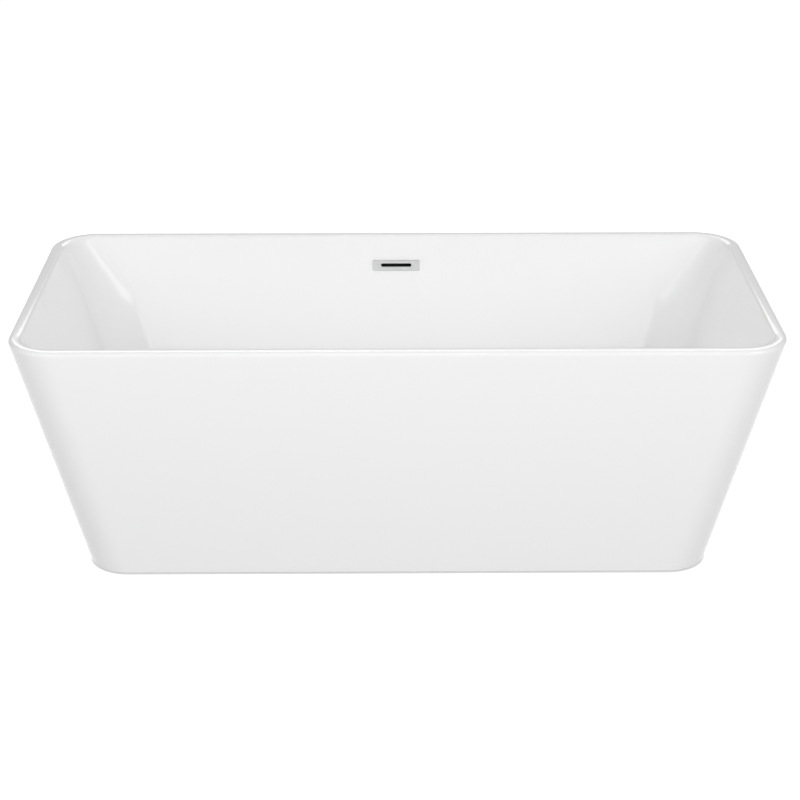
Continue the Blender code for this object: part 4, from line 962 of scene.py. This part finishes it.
def hose_ends():
    """Both ends of the hose and the way it leaves each, from its box."""
    low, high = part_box("overflow_hose")
    down = (overflow_frame().to_3x3() @ Vector((0.0, 0.0, -1.0))).normalized()
    start = Vector((0.0, high.y - HOSE_RADIUS * math.cos(SIDE_DRAFT),
                    high.z - HOSE_RADIUS * math.sin(SIDE_DRAFT)))
    finish = Vector((0.0, low.y, low.z + HOSE_RADIUS))
    return (start, down), (finish, Vector((0.0, 1.0, 0.0)))


def make_hose(finish):
    (start, down), (end, back) = hose_ends()
    bend_start = start + down * HOSE_LEAD
    bend_end = end + back * HOSE_LEAD
    drop = bend_start.z - bend_end.z
    span = bend_start.y - bend_end.y
    route = [start, start + down * HOSE_LEAD / 2]
    route += interpolate_bezier(bend_start, bend_start + down * drop * HOSE_PULL[0],
                                bend_end + back * span * HOSE_PULL[1], bend_end, HOSE_STEPS)
    route += [end + back * HOSE_LEAD / 2, end]
    return grown("ribbed_hose", hose_tree(), {
        "Radius": HOSE_RADIUS - HOSE_RIB, "Rib": HOSE_RIB, "Pitch": HOSE_PITCH, "Cuff": HOSE_LEAD * HOSE_CUFF,
        "Sides": HOSE_SIDES, "Finish": finish}, polyline_mesh("hose route", route, False))


def make_hose_clamp(name, end, along, finish):
    """Worm-drive band with the block of its screw housing."""
    inner = HOSE_RADIUS + 2 * GAP
    half = CLAMP_BAND[0] / 2
    clamp = turned(name, soften(ring_chain(inner, inner + CLAMP_BAND[1], -half, half), RING_ROUND, 2), finish)
    reach = inner + 2 * CLAMP_BLOCK
    housing = box_piece(f"{name} housing", (inner + CLAMP_BAND[1] / 2, -half, -CLAMP_BLOCK),
                        (reach, half, CLAMP_BLOCK), finish)
    combine(clamp, [housing], "UNION")
    turn = along.to_track_quat("Z", "Y").to_matrix().to_4x4()
    place = end + along * (CLAMP_SETBACK + half)
    return moved(clamp, Matrix.Translation(place) @ turn)


# ---------------------------------------------------------------- acrylic shells

def make_basin(finish):
    """Inner shell: dished drain seat, floor, sweep, walls and the whole rim down to the bond line."""
    recess = DRAIN_FLANGE + RECESS_MARGIN
    dish = FLOOR_HEIGHT - RECESS_DEPTH
    rows = [at_height(circle_outline(DRAIN_HOLE, OUTLINE_POINTS), dish),
            at_height(circle_outline(recess, OUTLINE_POINTS), dish)]
    for step in range(1, DISH_STEPS + 1):
        share = step / DISH_STEPS
        ease = share * share * (3 - 2 * share)
        rows.append(at_height(circle_outline(recess + 2 * RECESS_DEPTH * share, OUTLINE_POINTS),
                              dish + RECESS_DEPTH * ease))
    rows += basin_rows(0.0)
    for turn in quarter_turn(ROUND_ROWS, 1):
        rows.append(basin_section(RIM_INNER_ROUND * (1 - math.sin(turn)),
                                  grow=RIM_INNER_ROUND * (1 - math.cos(turn))))
    for turn in reversed(quarter_turn(ROUND_ROWS)):
        level = apron_section(HEIGHT - RIM_OUTER_ROUND, RIM_OUTER_ROUND * (1 - math.cos(turn)))
        rise = RIM_OUTER_ROUND * math.sin(turn)
        rows.append([(x, y, z + rise) for x, y, z in level])
    rows.append(apron_section(HEIGHT - RIM_LIP - GAP / 2))
    rows.append(apron_section(HEIGHT - RIM_LIP - GAP / 2, SHELL_WALL))
    rows.append(apron_section(HEIGHT - RIM_OUTER_ROUND, SHELL_WALL + GAP))
    rows += list(reversed(basin_rows(SHELL_WALL)))
    under = BOARD_TOP + GAP
    rows += [at_height(circle_outline(recess + SHELL_WALL + RECESS_DEPTH, OUTLINE_POINTS), under),
             at_height(circle_outline(recess + SHELL_WALL, OUTLINE_POINTS), under - RECESS_DEPTH),
             at_height(circle_outline(DRAIN_HOLE, OUTLINE_POINTS), under - RECESS_DEPTH)]
    basin = loft("basin", rows, finish, sharp=SHELL_SHARP)
    way = slot_bar("sleeve way", SLEEVE_HALF[0] + GAP, SLEEVE_HALF[1] + GAP, -SHELL_WALL, 2 * SHELL_WALL)
    holes = screw_ways("screw way", -SHELL_WALL, 2 * SHELL_WALL)
    return combine(basin, [way, *holes], "DIFFERENCE", sharp=SHELL_SHARP)


def make_apron(finish):
    """Outer skirt, flush with the rim above it, turned in at the top and at the lower edge."""
    low = APRON_LIFT
    top = HEIGHT - RIM_LIP - GAP / 2
    lean = math.cos(SIDE_TAPER)
    section = []
    for turn in reversed(quarter_turn(ROUND_ROWS)):
        section.append((APRON_EDGE_ROUND * (1 - math.cos(turn)) / lean,
                        low + APRON_EDGE_ROUND * (1 - math.sin(turn))))
    turned_in = (APRON_WALL + APRON_FLANGE) / lean
    wall = APRON_WALL / lean
    section += [(0.0, top), (turned_in, top), (turned_in, top - APRON_WALL), (wall, top - APRON_WALL),
                (wall, low + APRON_WALL), ((APRON_WALL + APRON_RETURN) / lean, low + APRON_WALL),
                ((APRON_WALL + APRON_RETURN) / lean, low)]
    start = polyline_mesh("apron section", [(inset, 0.0, height) for inset, height in section], True)
    return grown("apron", skirt_tree(), {
        "Half Length": TUB_HALF_X, "Half Width": TUB_HALF_Y, "Corner": CORNER_RIM,
        "Top": HEIGHT - RIM_OUTER_ROUND, "End Slope": math.tan(END_TAPER), "Side Slope": math.tan(SIDE_TAPER),
        "Corner Slope": (CORNER_RIM - CORNER_BASE) / HEIGHT, "Section Points": len(section),
        "Corner Steps": CORNER_STEPS, "Finish": finish}, start, SHELL_SHARP)


# ---------------------------------------------------------------- drain, plug and waste

def make_drain(finish):
    """Flange with a conical seat for the plug, throat, and the cross bar with its hub."""
    low, high = THROAT_LOW, DRAIN_TOP
    throat = DRAIN_BORE + DRAIN_WALL
    under = high - FLANGE_THICKNESS
    chain = [(DRAIN_BORE, low), (throat, low), (throat, under), (DRAIN_FLANGE, under),
             (DRAIN_FLANGE, high - FLANGE_THICKNESS / 3), (DRAIN_FLANGE - FLANGE_THICKNESS / 2, high),
             (DRAIN_BORE + SEAT_FLARE, high), (DRAIN_BORE, high - SEAT_DEPTH)]
    drain = turned("drain_flange", soften(chain, DRAIN_ROUND, 3), finish)
    bar_low, bar_top = low + CROSS_BAR[0], low + CROSS_BAR[0] + CROSS_BAR[1]
    reach, half = DRAIN_BORE + DRAIN_WALL / 2, CROSS_BAR[0] / 2
    bars = [box_piece("bar x", (-reach, -half, bar_low), (reach, half, bar_top), finish),
            box_piece("bar y", (-half, -reach, bar_low), (half, reach, bar_top), finish),
            turned("hub", rod_chain(CARTRIDGE_RADIUS + DRAIN_WALL, bar_low, bar_top), finish)]
    combine(drain, bars, "UNION")
    bore = turned("hub bore", rod_chain(CARTRIDGE_RADIUS + GAP, low, bar_top + CROSS_BAR[1]), finish)
    return combine(drain, [bore], "DIFFERENCE")


def make_cartridge(finish):
    low, high = heights("plug_cartridge")
    collar = THROAT_LOW + sum(CROSS_BAR) + GAP
    bore, outer = STEM_RADIUS + GAP, CARTRIDGE_RADIUS
    chain = [(bore, low), (outer, low), (outer, collar), (outer + DRAIN_WALL, collar),
             (outer + DRAIN_WALL, collar + COLLAR_HEIGHT), (outer, collar + COLLAR_HEIGHT), (outer, high),
             (bore, high)]
    return turned("plug_latch_housing", soften(chain, LATCH_ROUND, 3), finish, count=LATCH_TURN)


def make_plug_cap(finish):
    """Slightly domed cap with a rolled edge, and under it the boss that holds the seal."""
    low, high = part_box("plug_cap")
    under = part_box("plug_seal")[1].z + GAP
    seal_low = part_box("plug_seal")[0].z
    bore = STEM_RADIUS + GAP
    lip = DRAIN_BORE - 2 * GAP
    boss = lip - SEAL_THICKNESS / 2
    radius = high.x
    rim = [(radius, under), (radius, high.z - CAP_ROLL), (radius - CAP_ROLL, high.z)]
    skirt = [(0.0, under), (bore, under), (bore, low.z), (lip, low.z), (lip, seal_low - GAP),
             (boss, seal_low - GAP), (boss, under)]
    chain = soften([*skirt, *rim, (0.0, high.z)], CAP_ROUND)
    domed = []
    for r, z in chain[:-1]:
        rise = CAP_CROWN * max(0.0, 1 - (r / (radius - CAP_ROLL)) ** 2) if z > high.z - 1e-5 else 0.0
        domed.append((r, z + rise))
    for step in range(CAP_RINGS, -1, -1):
        share = step / (CAP_RINGS + 1)
        domed.append(((radius - 2 * CAP_ROLL) * share, high.z + CAP_CROWN * (1 - share ** 2)))
    return turned("plug_dome", domed, finish)


def make_tee(finish):
    """Body screwed under the drain, with its side port, both sockets and a collar over the gasket."""
    low, top = heights("waste_tee")
    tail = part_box("tailpiece")[1].x
    barrel = DRAIN_BORE + DRAIN_WALL + GAP + TEE_WALL
    outlet = tail + GAP + TEE_WALL
    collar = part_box("waste_tee")[1].x
    collar_low = top - TEE_COLLAR
    socket = low + OUTLET_LENGTH
    port = collar_low - PORT_DROP
    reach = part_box("waste_tee")[1].y
    outside = [(0.0, low), (outlet, low), (outlet, socket), (barrel, socket + TEE_WALL), (barrel, collar_low),
               (collar, collar_low), (collar, top), (0.0, top)]
    tee = turned("waste_body", soften(outside, TEE_ROUND, 3), finish)
    along_y = Matrix.Translation((0.0, 0.0, port)) @ Matrix.Rotation(-math.pi / 2, 4, "X")
    spout = [(0.0, 0.0), (HOSE_RADIUS, 0.0), (HOSE_RADIUS, reach), (0.0, reach)]
    combine(tee, [moved(turned("port", soften(spout, PORT_ROUND, 3), finish), along_y)], "UNION")
    threads = DRAIN_BORE + DRAIN_WALL + GAP
    inside = [(0.0, low - TEE_WALL), (tail + GAP, low - TEE_WALL), (tail + GAP, socket),
              (tail - TAIL_WALL, socket), (DRAIN_BORE, socket + 2 * TEE_WALL), (DRAIN_BORE, THROAT_LOW - GAP),
              (threads, THROAT_LOW - GAP), (threads, top + TEE_WALL), (0.0, top + TEE_WALL)]
    combine(tee, [turned("throat", inside, finish)], "DIFFERENCE")
    port_way = turned("port way", rod_chain(HOSE_RADIUS - HOSE_WALL, 0.0, 2 * reach), finish)
    return combine(tee, [moved(port_way, along_y)], "DIFFERENCE")


def nut_rows(across_flats, bore, low, high, place=(0.0, 0.0)):
    """Closed rows of a hexagon nut with chamfered corners."""
    chamfer = across_flats * NUT_CHAMFER
    face = across_flats / 2 + chamfer * NUT_FACE
    rows = []
    for widest, z in ((face, low), (across_flats, low + chamfer),
                      (across_flats, high - chamfer), (face, high)):
        rows.append(at_height(hexagon_outline(across_flats, FINE_TURN, widest), z))
    rows += [at_height(circle_outline(bore + chamfer / 2, FINE_TURN), high),
             at_height(circle_outline(bore, FINE_TURN), high - chamfer / 2),
             at_height(circle_outline(bore, FINE_TURN), low + chamfer / 2),
             at_height(circle_outline(bore + chamfer / 2, FINE_TURN), low)]
    return [[(x + place[0], y + place[1], z) for x, y, z in row] for row in rows]


def make_slip_nut(finish):
    """Hexagon nut that pulls the washer onto the tailpiece, bored wide over its lip."""
    low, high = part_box("slip_nut")
    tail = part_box("tailpiece")[1].x
    nut = loft("tail_nut", nut_rows(2 * high.y, tail + 2 * GAP, low.z, high.z), finish)
    room = turned("nut room", rod_chain(tail + TEE_WALL + 2 * GAP, low.z + NUT_LIP, 2 * high.z), finish)
    return combine(nut, [room], "DIFFERENCE")


def ring_between(name, node, finish, inner):
    """A turned ring with the outside and the height of a plain one."""
    low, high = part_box(node)
    return turned(name, soften(ring_chain(inner, high.x, low.z, high.z), RING_ROUND, 3), finish)


# ---------------------------------------------------------------- feet and screws

def make_pad(name, place, finish):
    """Moulded foot: broad sole, cone with a ring of stiffening ribs, and the socket for the stud."""
    low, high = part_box("foot_pad_mid_left")
    radius, top = (high.x - low.x) / 2, high.z
    chain = [(0.0, 0.0), (radius, 0.0), (radius, PAD_EDGE), (PAD_BOSS, PAD_SHOULDER), (PAD_BOSS, top),
             (SOCKET_RADIUS, top), (SOCKET_RADIUS, SOCKET_FLOOR), (0.0, SOCKET_FLOOR)]
    pad = turned(name, soften(chain, PAD_ROUND, 3), finish, place, count=PAD_RIBS * TURN_PER_RIB)
    middle = (PAD_BOSS + radius) / 2
    ribs = grown(f"{name} ribs", rib_ring_tree(), {
        "Centre": (place[0], place[1], PAD_EDGE), "Ring Radius": middle, "Count": PAD_RIBS,
        "Bar Size": (radius - PAD_BOSS - 2 * PAD_EDGE / 3, RIB_THICKNESS, 2 * PAD_EDGE), "Finish": finish})
    return combine(pad, [ribs], "UNION")


def stud_mesh(finish):
    """Ball-end swivel, neck, hexagon flats and the threaded rod above them, about the world's Z axis."""
    low, high = heights("foot_stud_mid_left")
    neck = low + SWIVEL_HEAD
    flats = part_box("foot_pad_mid_left")[1].z + GAP
    flats_top = flats + STUD_FLATS[1]
    swivel = soften(rod_chain(SOCKET_RADIUS - GAP, low, neck), SWIVEL_ROUND)
    foot = turned("swivel", swivel, finish, count=ROD_TURN)
    shank = turned("neck", rod_chain(STUD_RADIUS, neck - SWIVEL_HEAD / 2, flats_top - THREAD_PITCH),
                   finish, count=ROD_TURN)
    across, chamfer = STUD_FLATS[0], STUD_FLATS[1] * FLATS_CHAMFER
    face = across * FLATS_FACE
    hexagon = capped("flats", [at_height(hexagon_outline(across, ROD_TURN, widest), z) for widest, z in (
        (face, flats), (across, flats + chamfer), (across, flats_top - chamfer), (face, flats_top))], finish)
    combine(foot, [shank, hexagon], "UNION")
    start = flats + STUD_FLATS[1] / 2
    thread = grown("thread", thread_tree(), {
        "Foot": (0.0, 0.0, start), "Length": high - start, "Radius": STUD_RADIUS,
        "Pitch": THREAD_PITCH, "Depth": THREAD_DEPTH, "Sides": THREAD_SIDES, "Rows per Turn": THREAD_ROWS,
        "Finish": finish})
    return with_shells(foot, thread)


def screw_mesh(radius, length, finish):
    """Pan-headed screw with a crossed recess, pointing up from the underside of its head at the origin."""
    head = radius * SCREW_HEAD_RATIO
    chain = [(0.0, -SCREW_HEAD_HEIGHT), (head * PAN_TOP, -SCREW_HEAD_HEIGHT), (head, -SCREW_HEAD_HEIGHT / 2),
             (head, 0.0), (radius, 0.0), (radius, length - radius), (0.0, length)]
    screw = turned("pan head", soften(chain, PAN_ROUND, 3), finish, count=ROD_TURN)
    arm = head * PAN_RECESS
    bars = crossed_bars(arm, arm / 5, -2 * SCREW_HEAD_HEIGHT, -SCREW_HEAD_HEIGHT / 2)
    return combine(screw, bars, "DIFFERENCE")


def copy_at(source, name, place):
    """A piece with its own copy of a mesh, set down at a place."""
    return moved(add_object(name, source.data.copy()), Matrix.Translation(place))


def middle_of(node):
    low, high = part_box(node)
    return (low + high) / 2


def make_feet(finishes):
    stud = stud_mesh(finishes["zinc_steel"])
    for label in FEET:
        spot = middle_of(f"foot_pad_{label}")
        flat_spot = (spot.x, spot.y)
        stand_for(make_pad(f"levelling_pad_{label}", flat_spot, finishes["foot_nylon"]),
                  f"pad_{label}", "foot_nylon", f"foot_pad_{label}")
        stand_for(copy_at(stud, f"threaded_stud_{label}", (spot.x, spot.y, 0.0)),
                  f"stud_{label}", "zinc_steel", f"foot_stud_{label}")
        low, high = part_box(f"foot_lock_nut_{label}")
        rows = nut_rows(high.y - low.y, STUD_RADIUS + NUT_CLEARANCE, low.z, high.z, flat_spot)
        nut = loft(f"lock_nut_{label}", rows, finishes["zinc_steel"])
        stand_for(nut, "tub", "zinc_steel", f"foot_lock_nut_{label}")
    bpy.data.objects.remove(stud)


def make_screws(finishes):
    for kind, radius in (("board", BOARD_SCREW_RADIUS), ("bracket", BRACKET_SCREW_RADIUS)):
        low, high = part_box(f"{kind}_screw_front_left")
        head_top = low.z + SCREW_HEAD_HEIGHT
        screw = screw_mesh(radius, high.z - head_top, finishes["zinc_steel"])
        for label in CORNERS:
            spot = middle_of(f"{kind}_screw_{label}")
            stand_for(copy_at(screw, f"{kind}_fixing_{label}", (spot.x, spot.y, head_top)),
                      "tub", "zinc_steel", f"{kind}_screw_{label}")
        bpy.data.objects.remove(screw)


# ---------------------------------------------------------------- camera, floor and light

def make_camera():
    data = bpy.data.cameras.new("front camera")
    data.lens = CAMERA_LENS
    data.sensor_width = 36.0
    camera = add_object("front camera", data)
    camera.location = CAMERA_PLACE
    camera.rotation_euler = (math.pi / 2 - CAMERA_TILT, 0.0, CAMERA_PAN)
    bpy.context.scene.camera = camera


def make_floor():
    """A wide pale floor as white as the background, with a painted contact shadow under the tub."""
    bm = bmesh.new()
    bmesh.ops.create_grid(bm, x_segments=8, y_segments=8, size=30.0)
    material, tree, shader = new_material("pale studio floor")
    shader.inputs["Base Color"].default_value = (0.50, 0.50, 0.50, 1.0)
    shader.inputs["Roughness"].default_value = 1.0
    shader.inputs["Specular IOR Level"].default_value = 0.0
    shader.inputs["Emission Color"].default_value = (1.0, 1.0, 1.0, 1.0)
    # Painted contact shadow: the glow is turned down inside the outline of the tub's base and fades out at
    # its edge
    drop = HEIGHT - RIM_OUTER_ROUND
    straight = (TUB_HALF_X - drop * math.tan(END_TAPER) - CORNER_BASE,
                TUB_HALF_Y - drop * math.tan(SIDE_TAPER) - CORNER_BASE, 1.0)
    beyond = vector_calc(tree, "SUBTRACT", vector_calc(tree, "ABSOLUTE", object_space(tree)), straight)
    reach = put(tree, "ShaderNodeVectorMath", {0: vector_calc(tree, "MAXIMUM", beyond, (0.0, 0.0, 0.0))},
                operation="LENGTH").outputs["Value"]
    painted_shadow = put(tree, "ShaderNodeMapRange", {
        "Value": reach, "From Min": CORNER_BASE, "From Max": CORNER_BASE + PAINTED_SHADOW_FADE,
        "To Min": PAINTED_SHADOW_GLOW, "To Max": FLOOR_GLOW})
    tree.links.new(painted_shadow.outputs["Result"], shader.inputs["Emission Strength"])
    floor = mesh_piece("studio_floor", bm, material)
    floor.visible_diffuse = False


def make_world():
    world = bpy.data.worlds.new("white studio")
    world.use_nodes = True
    tree = world.node_tree
    background = tree.nodes["Background"]
    background.inputs["Color"].default_value = (1.0, 1.0, 1.0, 1.0)
    seen = put(tree, "ShaderNodeLightPath").outputs["Is Camera Ray"]
    tree.links.new(spread(tree, seen, WORLD_STRENGTH, 1.0), background.inputs["Strength"])
    bpy.context.scene.world = world


def soft_light(name, place, aim, size, power, shines):
    data = bpy.data.lights.new(name, "AREA")
    data.shape = "RECTANGLE"
    data.size = size[0]
    data.size_y = size[1]
    data.energy = power
    light = add_object(name, data)
    light.location = place
    light.rotation_euler = (Vector(aim) - Vector(place)).to_track_quat("-Z", "Y").to_euler()
    light.visible_camera = False
    light.visible_glossy = shines


def make_lights():
    for name, place, size, power, shines in SOFTBOXES:
        soft_light(name, place, LIGHT_AIM, size, power, shines)


# ---------------------------------------------------------------- the whole scene

def fit(finishes, made):
    """Make pieces that belong to the tub and set each in place of its node."""
    for make, slot, node in made:
        stand_for(make(finishes[slot]), "tub", slot, node)


def fit_rings(finishes, body, rings):
    for name, node, slot, inner in rings:
        stand_for(ring_between(name, node, finishes[slot], inner), body, slot, node)


def make_fittings(finishes):
    """Overflow, drain, plug and waste."""
    steel = finishes["zinc_steel"]
    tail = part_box("tailpiece")[1].x
    fit(finishes, (
        (make_overflow_cover, "chrome", "overflow_cover"),
        (make_overflow_insert, "duct_plastic", "overflow_insert")))
    for side, x in (("left", -SCREW_X), ("right", SCREW_X)):
        screw = make_wall_screw(f"wall_screw_{side}", x, steel)
        stand_for(screw, "tub", "zinc_steel", f"overflow_screw_{side}")
    fit(finishes, (
        (make_hose, "hose_plastic", "overflow_hose"),
        (make_drain, "chrome", "drain_body"),
        (make_cartridge, "chrome", "plug_cartridge"),
        (make_tee, "pipe_plastic", "waste_tee"),
        (make_slip_nut, "pipe_plastic", "slip_nut")))
    fit_rings(finishes, "tub", (
        ("tail_pipe", "tailpiece", "pipe_plastic", tail - TAIL_WALL),
        ("tail_washer", "slip_washer", "rubber_black", tail + GAP),
        ("upper_gasket", "drain_gasket_upper", "rubber_black", DRAIN_HOLE),
        ("lower_gasket", "drain_gasket_lower", "rubber_black", DRAIN_HOLE)))
    for label, (end, along) in zip(("upper", "lower"), hose_ends()):
        clamp = make_hose_clamp(f"hose_band_{label}", end, along, steel)
        stand_for(clamp, "tub", "zinc_steel", f"hose_clamp_{label}")
    stem = turned("plug_rod", soften(rod_chain(STEM_RADIUS, *heights("plug_stem")), STEM_ROUND), steel,
                  count=ROD_TURN)
    stand_for(make_plug_cap(finishes["chrome"]), "plug", "chrome", "plug_cap")
    seal_inner = DRAIN_BORE - GAP - SEAL_THICKNESS / 2
    fit_rings(finishes, "plug", (("plug_ring", "plug_seal", "rubber_black", seal_inner),))
    stand_for(stem, "plug", "zinc_steel", "plug_stem")


def build():
    bpy.context.scene.view_settings.view_transform = "Standard"
    make_camera()
    make_floor()
    make_world()
    make_lights()
    finishes = make_finishes()
    slots = {part["node"]: part["material_slot"] for part in frame["record"]["subparts"]}
    for name, node in frame["nodes"].items():
        node.data.materials.clear()
        node.data.materials.append(finishes[slots[name]])
    stand_for(make_basin(finishes["acrylic_white"]), "tub", "acrylic_white", "basin_shell")
    stand_for(make_apron(finishes["acrylic_white"]), "tub", "acrylic_white", "outer_apron")
    make_fittings(finishes)
    make_feet(finishes)
    make_screws(finishes)
    for name in PLAIN_PARTS:
        stand_for(refined(name, finishes[slots[name]]), "tub", slots[name], name)


build()
